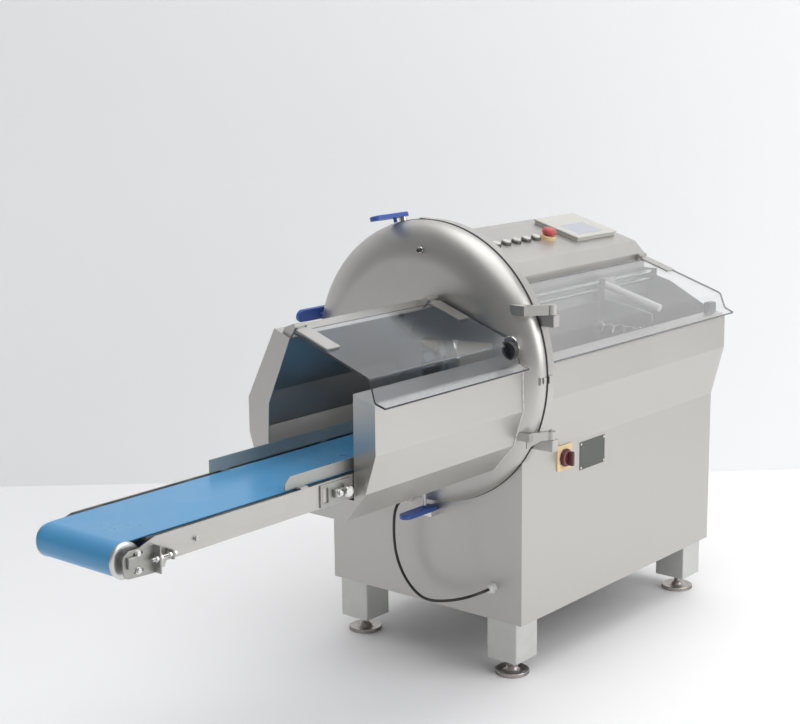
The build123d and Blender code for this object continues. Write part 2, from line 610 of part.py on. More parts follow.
def hood_hinge_lugs():
    """Hinge lugs of the hood's lid, on the hood's top flange."""
    foot = [(-80.0, 1018.6), (-55.0, 1028.1), (-62.0, 1040.0), (-88.0, 1050.5), (-95.0, 1040.0)]
    lugs = [lid_lug_pair(x, HOOD_AXIS_Y, HOOD_AXIS_Z, foot) for x in HOOD_STRAP_X]
    return group(lugs)


def infeed_hinge_lugs():
    """Hinge lugs of the infeed lid, on the roof console's front flange."""
    foot = [(ROOF_FRONT_Y, 1026.0), (ROOF_FRONT_Y, 1044.0), (-64.0, 1046.0), (-66.0, 1033.5)]
    lugs = [lid_lug_pair(x, INFEED_AXIS_Y, INFEED_AXIS_Z, foot) for x in INFEED_STRAP_X]
    return group(lugs)


def bent_lid(line, gauge, x0, x1):
    """Clear lid: flat top, two front bends and a grip lip."""
    other = offset_line(line, gauge)
    outer, inner = [0, 18.0, 6.0, 0], [0, 12.0, 12.0, 0]
    return yz_prism(line + other[::-1], x0, x1, outer + inner[::-1])


def hood_lid():
    """Tinted lid of the outfeed hood, notched for its knob."""
    lid = bent_lid(HOOD_LID_LINE, HOOD_LID_T, HOOD_LID_X0, HOOD_LID_X1)
    return lid - x_bar(KNOB_R + 0.2, -110.0, HOOD_LID_X1 + 1, KNOB_Y, KNOB_Z)


def infeed_lid():
    """Clear lid over the feed trough."""
    return bent_lid(INFEED_LID_LINE, INFEED_LID_T, INFEED_LID_X0, INFEED_LID_X1)


def lid_strap(line, axis_y, axis_z, x_mid, width, length):
    """Flat strap on a lid with the knuckle that turns on the lid's pin."""
    (y0, z0), (y1, z1) = line[0], line[1]
    run = hypot(y1 - y0, z1 - z0)
    root = (axis_y, z0 + (axis_y - y0) * (z1 - z0) / (y1 - y0))
    end = (y0 + (y1 - y0) * length / run, z0 + (z1 - z0) * length / run)
    flat = offset_line([(y0, z0), end], -STRAP_T)
    neck = offset_line([root, (y0, z0)], -STRAP_T)
    strap = yz_prism([(y0, z0), end] + flat[::-1], x_mid - width / 2, x_mid + width / 2)
    tongue = [root, end, flat[1], neck[0]]
    half = KNUCKLE_W / 2
    strap += yz_prism(tongue, x_mid - half, x_mid + half)
    strap += x_bar(KNUCKLE_R, x_mid - half, x_mid + half, axis_y, axis_z)
    return strap - x_bar(LID_PIN_R + RUNNING_FIT, x_mid - width, x_mid + width, axis_y, axis_z)


def hood_lid_straps():
    """Two hinge straps of the hood's lid."""
    straps = [lid_strap(HOOD_LID_LINE, HOOD_AXIS_Y, HOOD_AXIS_Z, x, 45.0, 104.0)
              for x in HOOD_STRAP_X]
    return group(straps)


def infeed_lid_straps():
    """Two hinge straps of the infeed lid."""
    straps = [lid_strap(INFEED_LID_LINE, INFEED_AXIS_Y, INFEED_AXIS_Z, x, 40.0, 100.0)
              for x in INFEED_STRAP_X]
    return group(straps)


def hood_lid_knob():
    """Round grip knob with a metal ring, set in the lid's front bend."""
    knob = x_bar(KNOB_R, -106.0, -86.0, KNOB_Y, KNOB_Z)
    knob = fillet(knob.edges().filter_by(GeomType.CIRCLE).sort_by(Axis.X)[0], 6.0)
    ring = x_bar(19.0, -86.0, -80.0, KNOB_Y, KNOB_Z)
    return knob + ring


def conveyor_rail(y0):
    """One side plate of the conveyor, with a tapered nose and a snub roller ear."""
    outline = [(RAIL_X1, RAIL_Z0), (RAIL_X1, RAIL_Z1), (-1230.0, RAIL_Z1), (RAIL_X0, 700.0),
               (RAIL_X0, RAIL_Z0), (SNUB_X - 20.0, RAIL_Z0), (SNUB_X - 14.0, 650.0),
               (SNUB_X + 14.0, 650.0), (SNUB_X + 20.0, RAIL_Z0)]
    rail = xz_prism(outline, y0, y0 + RAIL_T)
    return rail - y_bar(DRIVE_JOURNAL_R + RUNNING_FIT, y0 - 1, y0 + RAIL_T + 1, DRIVE_X, DRIVE_Z)


def conveyor_frame():
    """Two side plates tied by cross bars, the slider bed and two mounting saddles."""
    near_in, far_in = RAIL_NEAR_Y + RAIL_T, RAIL_FAR_Y - RAIL_T
    frame = conveyor_rail(RAIL_NEAR_Y) + conveyor_rail(far_in)
    for x in (-1150.0, -880.0, -560.0, -200.0):
        frame += block(x - 12.0, x + 12.0, near_in, far_in, 697.0, 712.0)
    frame += block(-1240.0, DRIVE_X - 32.0, BELT_Y0 - 3.0, BELT_Y1 + 3.0, 711.0, 716.5)
    frame += y_bar(SNUB_R, near_in, far_in, SNUB_X, SNUB_Z - 1.0)
    for x in MOUNT_X:
        saddle = block(x - 15.0, x + 15.0, RAIL_NEAR_Y, RAIL_FAR_Y, 640.0, 662.0)
        saddle -= block(x - 16.0, x + 16.0, near_in, far_in, 645.0, 663.0)
        saddle += block(x - 15.0, x + 15.0, -170.0, -114.0, 599.0 + SHEET_T, 641.0)
        frame += saddle
    return frame


def guide_plates():
    """Product guides over the belt's edges, on tabs across the side plates."""
    plates = []
    near = [(-838.0, 724.0), (-80.0, 724.0), (-80.0, 753.0), (-822.0, 753.0), (-838.0, 737.0)]
    far = [(-838.0, 724.0), (-80.0, 724.0), (-80.0, 755.0), (-838.0, 755.0)]
    for outline, y0, tab in ((near, -263.5, (RAIL_NEAR_Y, -260.5)), (far, -21.5, (-21.5, RAIL_FAR_Y))):
        plate = xz_prism(outline, y0, y0 + 3.0)
        for x in (-790.0, -450.0, -110.0):
            plate += block(x - 12.0, x + 12.0, *tab, RAIL_Z1, 724.5)
        plates.append(plate)
    return group(plates)


def belt_loop(shift):
    """The belt's path in (X, Z), moved outwards from its middle line."""
    drive, nose = DRIVE_R + ROLLER_GAP + BELT_T / 2, NOSE_R + ROLLER_GAP + BELT_T / 2
    top = DRIVE_Z + drive
    low, nose_low = DRIVE_Z - drive, NOSE_Z - nose
    corners = [(DRIVE_X + drive + shift, top + shift), (NOSE_X - nose - shift, top + shift),
               (NOSE_X - nose - shift, nose_low - shift), (-1258.0, nose_low - shift),
               (SNUB_X, low - shift), (DRIVE_X + drive + shift, low - shift)]
    radii = [drive + shift, nose + shift, nose + shift, 14.0 - shift, 14.0 + shift, drive + shift]
    return loop_face(corners, [radius - 0.05 for radius in radii])


def conveyor_belt():
    """Endless flat belt round the nose roller and the drive roller."""
    ring = belt_loop(BELT_T / 2) - belt_loop(-BELT_T / 2)
    return extrude(Plane.XZ.offset(-BELT_Y1) * ring, BELT_Y1 - BELT_Y0)


def nose_roller():
    """Large end roller with a flange ring at each side and two journals."""
    roller = y_bar(NOSE_R, BELT_Y0 - 5.0, BELT_Y1 + 5.0, NOSE_X, NOSE_Z)
    for y0 in (BELT_Y0 - 5.0, BELT_Y1 + 1.0):
        roller += y_bar(NOSE_RING_R, y0, y0 + 4.0, NOSE_X, NOSE_Z)
    return roller + y_bar(JOURNAL_R, RAIL_NEAR_Y - 8.0, RAIL_FAR_Y + 8.0, NOSE_X, NOSE_Z)


def drive_roller():
    """Small driven roller under the drum's port, with the drive inside its tube."""
    roller = y_bar(DRIVE_R, BELT_Y0 - 2.0, BELT_Y1 + 2.0, DRIVE_X, DRIVE_Z)
    return roller + y_bar(DRIVE_JOURNAL_R, RAIL_NEAR_Y, RAIL_FAR_Y, DRIVE_X, DRIVE_Z)


def tension_bracket(side):
    """Belt tensioner of one side: slotted plate, axle block, screw and its lug."""
    face = RAIL_NEAR_Y if side < 0 else RAIL_FAR_Y

    def span(near, far):
        """Y range from distances out of the side plate's face."""
        return tuple(sorted((face + side * near, face + side * far)))

    outline = [(-1318.0, 655.0), (-1245.0, 645.0), (-1245.0, 705.0), (-1300.0, 705.0),
               (-1318.0, 695.0)]
    plate = xz_prism(outline, *span(0, 3.0))
    plate += block(NOSE_X - 13.0, NOSE_X + 13.0, *span(3.0, 9.0), NOSE_Z - 13.0, NOSE_Z + 13.0)
    plate -= y_bar(JOURNAL_R + RUNNING_FIT, *span(-1.0, 10.0), NOSE_X, NOSE_Z)
    slots, screws = [], []
    for z in (661.0, 694.0):
        plate -= block(-1272.0, -1256.0, *span(-1.0, 4.0), z - 3.5, z + 3.5)
        screws.append(y_bar(6.5, *span(3.0, 7.0), -1264.0, z))
        slots.append(y_bar(3.0, *span(0.0, 3.0), -1264.0, z))
    plate += block(-1248.0, -1245.0, *span(0, 22.0), 665.0, 691.0)
    lug = block(-1195.0, -1190.0, *span(0, 22.0), 668.0, 688.0)
    screw = x_bar(4.0, -1268.0, -1195.0, face + side * 15.0, 678.0)
    plate -= x_bar(4.0, -1249.0, -1244.0, face + side * 15.0, 678.0)
    screw += x_bar(7.0, -1256.0, -1248.0, face + side * 15.0, 678.0)
    fasteners = [head + shank for head, shank in zip(screws, slots)]
    return [plate, lug, screw] + fasteners


def conveyor_clamp():
    """Small slotted plate and its round thumb knob on the near side plate."""
    outline = [(-706.0, 632.0), (-646.0, 632.0), (-640.0, 640.0), (-640.0, 704.0), (-706.0, 704.0)]
    plate = xz_prism(outline, RAIL_NEAR_Y - 4.0, RAIL_NEAR_Y)
    plate -= block(-694.0, -686.0, RAIL_NEAR_Y - 5.0, RAIL_NEAR_Y + 1.0, 645.0, 692.0)
    knob = y_bar(5.0, RAIL_NEAR_Y - 14.0, RAIL_NEAR_Y - 4.0, -662.0, 674.0)
    return plate + knob + y_bar(14.0, RAIL_NEAR_Y - 28.0, RAIL_NEAR_Y - 13.0, -662.0, 674.0)


def conveyor_fittings():
    """Belt tensioners of both sides and the thumb clamp."""
    pieces = tension_bracket(-1) + tension_bracket(1) + [conveyor_clamp()]
    return group(pieces)


def feed_trough():
    """Folded trough that guides the product to the drum's port."""
    return folded_sheet(TROUGH_LINE, SHEET_T, DRUM_X1, TROUGH_X1, leftward=True)


def guide_rods():
    """Two round rods that the gripper slides on."""
    rods = [x_bar(ROD_R, DRUM_X1, TROUGH_X1, ROD_Y, z) for z in ROD_Z]
    return group(rods)


def gripper_carriage():
    """Slide block on the rods with the head plate that pushes the product."""
    carriage = block(GRIPPER_X0, GRIPPER_X1, -106.0, -79.0, 936.0, 1002.0)
    head = [(-270.0, 790.0), (-90.0, 790.0), (-90.0, 940.0), (-130.0, 940.0), (-270.0, 912.0)]
    carriage += yz_prism(head, GRIPPER_X0, GRIPPER_X0 + 8.0, [14.0, 14.0, 3.0, 10.0, 10.0])
    for z in ROD_Z:
        carriage -= x_bar(ROD_R + RUNNING_FIT, GRIPPER_X0 - 1, GRIPPER_X1 + 1, ROD_Y, z)
    for y0 in (-264.0, -104.0):
        ear = block(CLAW_AXIS_X - 9.0, GRIPPER_X0, y0, y0 + 8.0, CLAW_AXIS_Z - 10, CLAW_AXIS_Z + 10)
        carriage += ear - y_bar(CLAW_PIN_R + RUNNING_FIT, y0, y0 + 8.0, CLAW_AXIS_X, CLAW_AXIS_Z)
    return carriage


def gripper_bar():
    """Round bar across the trough, above the gripper's head."""
    (y0, z0), (y1, z1) = (-98.0, 984.0), (-290.0, 930.0)
    run = Vector(0, y1 - y0, z1 - z0)
    frame = Plane(origin=(GRIPPER_X0 + 11.0, y0, z0), x_dir=(1, 0, 0), z_dir=run.normalized())
    bar = frame * round_bar(11.0, run.length)
    return bar - block(GRIPPER_X0 - 1, GRIPPER_X1 + 1, -106.0, -60.0, 900.0, 1100.0)


def gripper_claws():
    """Row of hooked claws on one pin, which bite into the product."""
    claws = y_bar(CLAW_PIN_R, -264.0, -96.0, CLAW_AXIS_X, CLAW_AXIS_Z)
    hook = [(CLAW_AXIS_X, CLAW_AXIS_Z + 8.0), (CLAW_AXIS_X - 22.0, CLAW_AXIS_Z + 5.0),
            (CLAW_AXIS_X - 38.0, CLAW_AXIS_Z - 24.0), (CLAW_AXIS_X - 24.0, CLAW_AXIS_Z - 8.0),
            (CLAW_AXIS_X, CLAW_AXIS_Z - 8.0)]
    for y0 in (-244.0, -207.0, -170.0, -133.0):
        claws += xz_prism(hook, y0, y0 + 8.0, [2.0, 8.0, 1.0, 8.0, 2.0])
    return claws


def safety_switches():
    """Lid switch on the ledge and door switch on the drum's ring."""
    lid = yz_prism([(-332.0, 884.0), (-308.0, 886.6), (-308.0, 920.0), (-332.0, 920.0)], 935.0, 971.0)
    door = block(4.0, 22.0, -391.0, -383.0, 836.0, 858.0) - x_bar(DRUM_R, 0, 40.0, 0, DRUM_Z)
    return group([lid, door])


def button_bezel(x):
    """Metal ring with a thin floor, round one push-button."""
    ring = round_bar(BEZEL_R, 9.0)
    ring = chamfer(ring.edges().group_by(Axis.Z)[-1], 1.5)
    ring -= Pos(0, 0, 1.0) * round_bar(BUTTON_R + 0.3, 9.0)
    return along_slope(x, BUTTON_ALONG) * ring


def button_bezels():
    """Bezels of the row of push-buttons."""
    rings = [button_bezel(BUTTON_X0 + BUTTON_PITCH * index) for index in range(BUTTON_COUNT)]
    return group(rings)


def push_button(index):
    """Domed cap of one push-button."""
    cap = fillet(round_bar(BUTTON_R, 7.8).edges().group_by(Axis.Z)[-1], 1.5)
    return along_slope(BUTTON_X0 + BUTTON_PITCH * index, BUTTON_ALONG, 4.2) * cap


def estop_base():
    """Raised collar under the emergency stop."""
    collar = chamfer(round_bar(COLLAR_R, 12.0).edges().group_by(Axis.Z)[-1], 2.0)
    collar -= Pos(0, 0, 2.0) * round_bar(BUTTON_R + 0.3, 12.0)
    return along_slope(ESTOP_X, ESTOP_ALONG) * collar


def estop_head():
    """Mushroom head and stem of the emergency stop."""
    outline = [(0, 7.5), (BUTTON_R, 7.5), (BUTTON_R, 17.0), (MUSHROOM_R, 17.0),
               (MUSHROOM_R, 29.0), (14.0, 34.0), (0, 35.0)]
    head = revolve(Plane.XZ * loop_face(outline, [0, 0, 0, 2.0, 6.0, 8.0, 0]), Axis.Z)
    return along_slope(ESTOP_X, ESTOP_ALONG) * head


def hmi_housing():
    """Control panel's housing, recessed for the screen."""
    width, middle = HMI_X1 - HMI_X0, (HMI_X0 + HMI_X1) / 2
    slab = Pos(0, HMI_DEPTH / 2, HMI_T / 2) * Box(width, HMI_DEPTH, HMI_T)
    slab = fillet(slab.edges().filter_by(Axis.Z), 8.0)
    slab = fillet(slab.edges().group_by(Axis.Z)[-1], 2.5)
    recess = Pos((SCREEN_X0 + SCREEN_X1) / 2 - middle, (SCREEN_A0 + SCREEN_A1) / 2,
                 HMI_T - SCREEN_T / 2)
    slab -= recess * Box(SCREEN_X1 - SCREEN_X0, SCREEN_A1 - SCREEN_A0, SCREEN_T)
    return along_slope(middle, 0) * slab


def hmi_screen():
    """Glass of the control panel's screen."""
    place = along_slope((SCREEN_X0 + SCREEN_X1) / 2, (SCREEN_A0 + SCREEN_A1) / 2, HMI_T - SCREEN_T)
    glass = Pos(0, 0, SCREEN_T / 2) * Box(SCREEN_X1 - SCREEN_X0, SCREEN_A1 - SCREEN_A0, SCREEN_T)
    return place * glass


def main_switch_plate():
    """Square plate behind the main switch."""
    half, y0 = SWITCH_PLATE / 2, CABINET_FRONT - SWITCH_PLATE_T
    corners = [(SWITCH_X - half, SWITCH_Z - half), (SWITCH_X + half, SWITCH_Z - half),
               (SWITCH_X + half, SWITCH_Z + half), (SWITCH_X - half, SWITCH_Z + half)]
    plate = xz_prism(corners, y0, CABINET_FRONT, [5.0] * 4)
    return plate - y_bar(SWITCH_STEM_R + RUNNING_FIT, y0, CABINET_FRONT, SWITCH_X, SWITCH_Z)


def main_switch_knob():
    """Scalloped rotary knob with a raised grip bar."""
    y1 = CABINET_FRONT - SWITCH_PLATE_T - 0.3
    knob = y_bar(24.5, y1 - 16.0, y1, SWITCH_X, SWITCH_Z)
    for index in range(8):
        angle = radians(22.5 + 45.0 * index)
        knob -= y_bar(5.0, y1 - 17.0, y1 - 4.0, SWITCH_X + 27.0 * cos(angle),
                      SWITCH_Z + 27.0 * sin(angle))
    knob += block(SWITCH_X - 6.0, SWITCH_X + 6.0, y1 - 29.0, y1 - 15.0, SWITCH_Z - 21, SWITCH_Z + 21)
    return knob + y_bar(SWITCH_STEM_R, y1 - 1, CABINET_FRONT + 4.0, SWITCH_X, SWITCH_Z)


def cable_gland(y, z):
    """Hexagon body and dome nut of a cable gland on the outfeed face."""
    hexagon = Plane.YZ.offset(CABINET_X0 - 12.0) * (Pos(y, z) * RegularPolygon(14.0, 6))
    dome = x_bar(11.0, CABINET_X0 - GLAND_REACH, CABINET_X0 - 12.0, y, z)
    dome = fillet(dome.edges().filter_by(GeomType.CIRCLE).sort_by(Axis.X)[0], 4.0)
    return extrude(hexagon, 12.0) + dome


def cable_glands():
    """Glands at the cable's two ends."""
    return group([cable_gland(y, z) for y, z in GLANDS])


def cord_radii(route):
    """Largest tangent arc at each corner of a cord's route."""
    radii = []
    for before, here, after in zip(route, route[1:], route[2:]):
        inward, outward = Vector(*here) - Vector(*before), Vector(*after) - Vector(*here)
        turn = radians(inward.get_angle(outward))
        radii.append(0.45 * min(inward.length, outward.length) / tan(turn / 2))
    return radii


def conveyor_cable():
    """Cable hanging in a bow between the two glands."""
    radii = cord_radii(CABLE_ROUTE)
    path = FilletPolyline(*CABLE_ROUTE, radius=radii)
    start = Plane(origin=path @ 0, z_dir=path % 0)
    tube = sweep(start * Circle(CABLE_R), path=path)
    print("cable radii", [round(radius) for radius in radii], "length", round(path.length))
    swept = pi * CABLE_R ** 2 * path.length
    print("cable volume over section times length", round(tube.volume / swept, 4))
    return tube


SINGLE_PARTS = [
    cabinet_shell, roof_console, base_frame, leg_posts, levelling_feet, drum_housing, door_gasket,
    shear_frame, bearing_housing, shaft_bearings, drive_motor, motor_bracket, drive_belt,
    feed_trough, guide_rods, hinge_brackets, clamp_posts, infeed_hinge_lugs, safety_switches,
    main_switch_plate, cable_glands, conveyor_cable, button_bezels, estop_base, hmi_housing,
    hmi_screen, blade_shaft, sickle_blade, blade_hub, shaft_pulley, motor_pulley, outfeed_door,
    hinge_arms, outfeed_hood, hood_hinge_lugs, conveyor_frame, guide_plates, conveyor_belt,
    conveyor_fittings, hood_lid, hood_lid_straps, hood_lid_knob, nose_roller, drive_roller,
    infeed_lid, infeed_lid_straps, gripper_carriage, gripper_bar, gripper_claws, estop_head,
    main_switch_knob, clamp_handle_top, clamp_handle_back, clamp_handle_bottom,
]


def all_parts():
    """Every sub-part by name, in the finished frame."""
    parts = {maker.__name__: maker() for maker in SINGLE_PARTS}
    for index in range(BUTTON_COUNT):
        parts[f"push_button_{index + 1}"] = push_button(index)
    return {name: Pos(-ORIGIN_X, -ORIGIN_Y, 0) * part for name, part in parts.items()}


def main():
    """Write one STEP file for each sub-part."""
    os.makedirs("parts", exist_ok=True)
    for name, part in all_parts().items():
        export_step(part, f"parts/{name}.step")


main()
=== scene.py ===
import logging
import math
from collections.abc import Sequence
from dataclasses import dataclass
from enum import Enum

import bpy
from mathutils import Matrix, Vector


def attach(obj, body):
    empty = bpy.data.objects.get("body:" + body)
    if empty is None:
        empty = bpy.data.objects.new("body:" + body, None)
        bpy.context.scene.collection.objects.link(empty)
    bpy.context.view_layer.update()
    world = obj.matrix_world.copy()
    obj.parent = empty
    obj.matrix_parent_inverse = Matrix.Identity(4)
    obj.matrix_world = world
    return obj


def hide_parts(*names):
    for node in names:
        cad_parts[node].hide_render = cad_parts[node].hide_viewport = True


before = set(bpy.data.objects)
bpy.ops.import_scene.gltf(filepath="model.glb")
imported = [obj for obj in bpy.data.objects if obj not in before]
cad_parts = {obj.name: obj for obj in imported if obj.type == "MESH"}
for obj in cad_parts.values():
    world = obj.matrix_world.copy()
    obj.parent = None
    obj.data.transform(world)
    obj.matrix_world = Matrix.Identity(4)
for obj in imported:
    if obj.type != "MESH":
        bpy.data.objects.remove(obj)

LOG = logging.getLogger("portion_slicer")
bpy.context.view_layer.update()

Point = tuple[float, float, float]
Outline = Sequence[tuple[float, float]]
Piece = bpy.types.Object
Material = bpy.types.Material
Tree = bpy.types.NodeTree
Node = bpy.types.Node
Socket = bpy.types.NodeSocket
Inputs = dict[str | int, float | tuple[float, ...] | Socket]

# The machine's own measuring point in the frame: drum sealing plane, drum centre line, floor
MACHINE_X = 0.1685
MACHINE_Y = -0.001
DRUM_Z = 850.4
# Slope of the console, from its rise and run
SLOPE = math.atan2(48.0, 170.0)

# Mesh making: facets of a rounded corner, angles in degrees, lengths in metres
ARC_STEPS = 8
SMOOTH_ANGLE = 35.0
BEAD_ANGLE = 60.0
BEVEL_ANGLE = 30.0
BEVEL_STEPS = 2
DOUBLES_GAP = 0.000005
SEED_SIZE = 0.001

# Fasteners: depth of a thread in millimetres, and shares of a head's height and width
THREAD_DEPTH = 0.6
HEAD_ROUNDING = 0.16
WASHER_FLAT, WASHER_RIM = 0.62, 0.66
WASHER_CREST, WASHER_HEIGHT = 0.4, 1.0

# Shading that all finishes share
WIDE_GRAIN = 0.17
SPECK_SCALE = 90.0
SMOOTHEST = 0.02
COAT_ROUGHNESS = 0.12
GLASS_IOR = 1.5
BUMP_DISTANCE = 0.001


def at(x: float, y: float, z: float) -> Point:
    """A point of the frame in metres, from machine millimetres.

    Args:
        x: distance from the drum's sealing plane, towards the infeed end.
        y: distance from the drum's centre line, towards the back.
        z: height over the floor.

    Returns:
        The same point in the frame.
    """
    return (x / 1000 + MACHINE_X, y / 1000 + MACHINE_Y, z / 1000)


def rounded(points: Outline, radii: Sequence[float]) -> Outline:
    """An outline with its corners rounded by arcs.

    Args:
        points: corners in millimetres.
        radii: radius at each corner, 0 for a sharp one.

    Returns:
        The outline with arcs in place of its rounded corners.
    """
    result: list[tuple[float, float]] = []
    for index, (corner, radius) in enumerate(zip(points, radii)):
        if radius <= 0:
            result.append(corner)
            continue
        here = Vector(corner)
        before = (Vector(points[index - 1]) - here).normalized()
        after = (Vector(points[(index + 1) % len(points)]) - here).normalized()
        half = before.angle(after) / 2
        middle = here + (before + after).normalized() * (radius / math.sin(half))
        start = here + before * (radius / math.tan(half)) - middle
        end = here + after * (radius / math.tan(half)) - middle
        sweep = start.angle_signed(end)
        for step in range(ARC_STEPS + 1):
            turn = -sweep * step / ARC_STEPS
            result.append((middle.x + start.x * math.cos(turn) - start.y * math.sin(turn),
                           middle.y + start.x * math.sin(turn) + start.y * math.cos(turn)))
    return result


def beside(points: Outline, gap: float) -> Outline:
    """A line that runs beside another.

    Args:
        points: the open line, in millimetres.
        gap: distance to its left.

    Returns:
        The line beside it, with as many points.
    """
    result: list[tuple[float, float]] = []
    for index, point in enumerate(points):
        ways = []
        if index > 0:
            ways.append((Vector(point) - Vector(points[index - 1])).normalized())
        if index < len(points) - 1:
            ways.append((Vector(points[index + 1]) - Vector(point)).normalized())
        normals = [Vector((-way.y, way.x)) for way in ways]
        middle = sum(normals, Vector((0.0, 0.0))) / len(normals)
        reach = middle * (gap / middle.length_squared)
        result.append((point[0] + reach.x, point[1] + reach.y))
    return result


def threaded(radius: float, length: float, pitch: float = 1.75) -> Outline:
    """Profile of a screw thread, from its foot to its tip.

    Args:
        radius: outer radius in millimetres.
        length: length in millimetres.
        pitch: distance from crest to crest.

    Returns:
        The profile, to be turned about its axis.
    """
    profile: list[tuple[float, float]] = [(0, 0)]
    for turn in range(int(length / pitch)):
        profile.append((radius, turn * pitch))
        profile.append((radius - THREAD_DEPTH, (turn + 0.5) * pitch))
    return profile + [(radius, length), (0, length)]


def stand(name: str, data: bpy.types.ID) -> Piece:
    """A new object in the scene that holds a curve, a light or a camera."""
    item = bpy.data.objects.new(name, data)
    bpy.context.scene.collection.objects.link(item)
    return item


class Way(Enum):
    """Direction that a turned piece's axis points to."""

    X = Matrix.Rotation(math.radians(90), 4, "Y")
    MINUS_X = Matrix.Rotation(math.radians(-90), 4, "Y")
    Y = Matrix.Rotation(math.radians(-90), 4, "X")
    MINUS_Y = Matrix.Rotation(math.radians(90), 4, "X")
    Z = Matrix.Identity(4)
    SIDE = Matrix.Rotation(math.radians(90), 4, "Z")
    CONSOLE = Matrix.Rotation(SLOPE, 4, "X")


@dataclass(frozen=True)
class Box:
    """A rectangular shape: lowest and highest corner and edge rounding, in millimetres."""

    low: Point
    high: Point
    edge: float = 1.0


@dataclass(frozen=True)
class Turning:
    """A turned shape: its line of (radius, height) in millimetres, the foot and way of its
    axis in machine millimetres, and the number of facets round it."""

    outline: Outline
    foot: Point
    way: Way
    steps: int = 96


class Bench:
    """Bench tools that make a mesh with Blender's own operators."""

    @staticmethod
    def clear() -> None:
        """Leave edit mode and deselect everything."""
        if bpy.context.object and bpy.context.object.mode != "OBJECT":
            bpy.ops.object.mode_set(mode="OBJECT")
        bpy.ops.object.select_all(action="DESELECT")

    @staticmethod
    def take(piece: Piece) -> None:
        """Make one piece the only selected and active one."""
        Bench.clear()
        piece.select_set(True)
        bpy.context.view_layer.objects.active = piece

    @staticmethod
    def apply() -> None:
        """Apply the active piece's place, turn and scale to its mesh."""
        bpy.ops.object.transform_apply(location=True, rotation=True, scale=True)

    @staticmethod
    def open() -> None:
        """Open the active piece's mesh with everything in it selected."""
        bpy.ops.object.mode_set(mode="EDIT")
        bpy.ops.mesh.select_all(action="SELECT")

    @staticmethod
    def shut() -> None:
        """Leave the active piece's mesh."""
        bpy.ops.object.mode_set(mode="OBJECT")

    @staticmethod
    def settle(piece: Piece, angle: float = SMOOTH_ANGLE) -> Piece:
        """Apply a piece's place, close its doubles, turn its faces out and smooth it.

        Args:
            piece: the mesh object.
            angle: edges sharper than this many degrees stay sharp.

        Returns:
            The same piece.
        """
        Bench.take(piece)
        Bench.apply()
        Bench.open()
        bpy.ops.mesh.remove_doubles(threshold=DOUBLES_GAP)
        bpy.ops.mesh.normals_make_consistent(inside=False)
        Bench.shut()
        bpy.ops.object.shade_smooth_by_angle(angle=math.radians(angle))
        return piece

    @staticmethod
    def set_down(piece: Piece, place: Point, way: Way, edge: float) -> Piece:
        """Put a piece at its place and round its edges.

        Args:
            piece: the mesh object, at the world's origin.
            place: where its origin goes, in machine millimetres.
            way: how it is turned.
            edge: edge rounding in millimetres.

        Returns:
            The same piece.
        """
        piece.matrix_world = Matrix.Translation(at(*place)) @ way.value
        Bench.settle(piece)
        Bench.take(piece)
        bevel = piece.modifiers.new("edge", "BEVEL")
        bevel.width = edge / 1000
        bevel.segments = BEVEL_STEPS
        bevel.limit_method = "ANGLE"
        bevel.angle_limit = math.radians(BEVEL_ANGLE)
        bpy.ops.object.modifier_apply(modifier=bevel.name)
        return Bench.settle(piece)

    @staticmethod
    def block(name: str, box: Box, place: Point = (0.0, 0.0, 0.0), way: Way = Way.Z) -> Piece:
        """A rectangular piece with rounded edges.

        Args:
            name: the piece's name.
            box: its shape.
            place: the point in machine millimetres that the corners count from.
            way: turn about that point.

        Returns:
            The piece.
        """
        Bench.clear()
        middle = [(a + b) / 2000 for a, b in zip(box.low, box.high)]
        bpy.ops.mesh.primitive_cube_add(size=1.0, location=middle)
        piece = bpy.context.object
        piece.name = name
        piece.scale = [(b - a) / 1000 for a, b in zip(box.low, box.high)]
        Bench.apply()
        return Bench.set_down(piece, place, way, box.edge)

    @staticmethod
    def line(name: str, start: Point, steps: Sequence[Point]) -> Piece:
        """A line drawn by extruding one vertex from point to point.

        Args:
            name: the piece's name.
            start: first point in metres.
            steps: the way from each point to the next.

        Returns:
            The piece, with its mesh still open.
        """
        Bench.clear()
        bpy.ops.mesh.primitive_plane_add(size=SEED_SIZE, location=start)
        piece = bpy.context.object
        piece.name = name
        Bench.open()
        bpy.ops.mesh.merge(type="CENTER")
        for step in steps:
            bpy.ops.mesh.extrude_vertices_move(TRANSFORM_OT_translate={"value": step})
        return piece

    @staticmethod
    def draw(name: str, outline: Outline, close: bool) -> Piece:
        """A line in the local XZ plane.

        Args:
            name: the piece's name.
            outline: points in millimetres, as (distance, height).
            close: whether a face fills the outline.

        Returns:
            The piece, still at the world's origin.
        """
        first = Vector((outline[0][0], 0.0, outline[0][1])) / 1000
        steps = [((r1 - r0) / 1000, 0.0, (h1 - h0) / 1000)
                 for (r0, h0), (r1, h1) in zip(outline, outline[1:])]
        piece = Bench.line(name, first, steps)
        if close:
            bpy.ops.mesh.select_all(action="SELECT")
            bpy.ops.mesh.edge_face_add()
        Bench.shut()
        Bench.apply()
        return piece

    @staticmethod
    def lathe(name: str, shape: Turning) -> Piece:
        """A turned piece.

        Args:
            name: the piece's name.
            shape: what it is turned from.

        Returns:
            The piece.
        """
        piece = Bench.draw(name, shape.outline, close=False)
        Bench.open()
        bpy.ops.mesh.spin(steps=shape.steps, angle=math.tau, center=(0, 0, 0), axis=(0, 0, 1),
                          use_auto_merge=True)
        Bench.shut()
        piece.matrix_world = Matrix.Translation(at(*shape.foot)) @ shape.way.value
        return Bench.settle(piece)

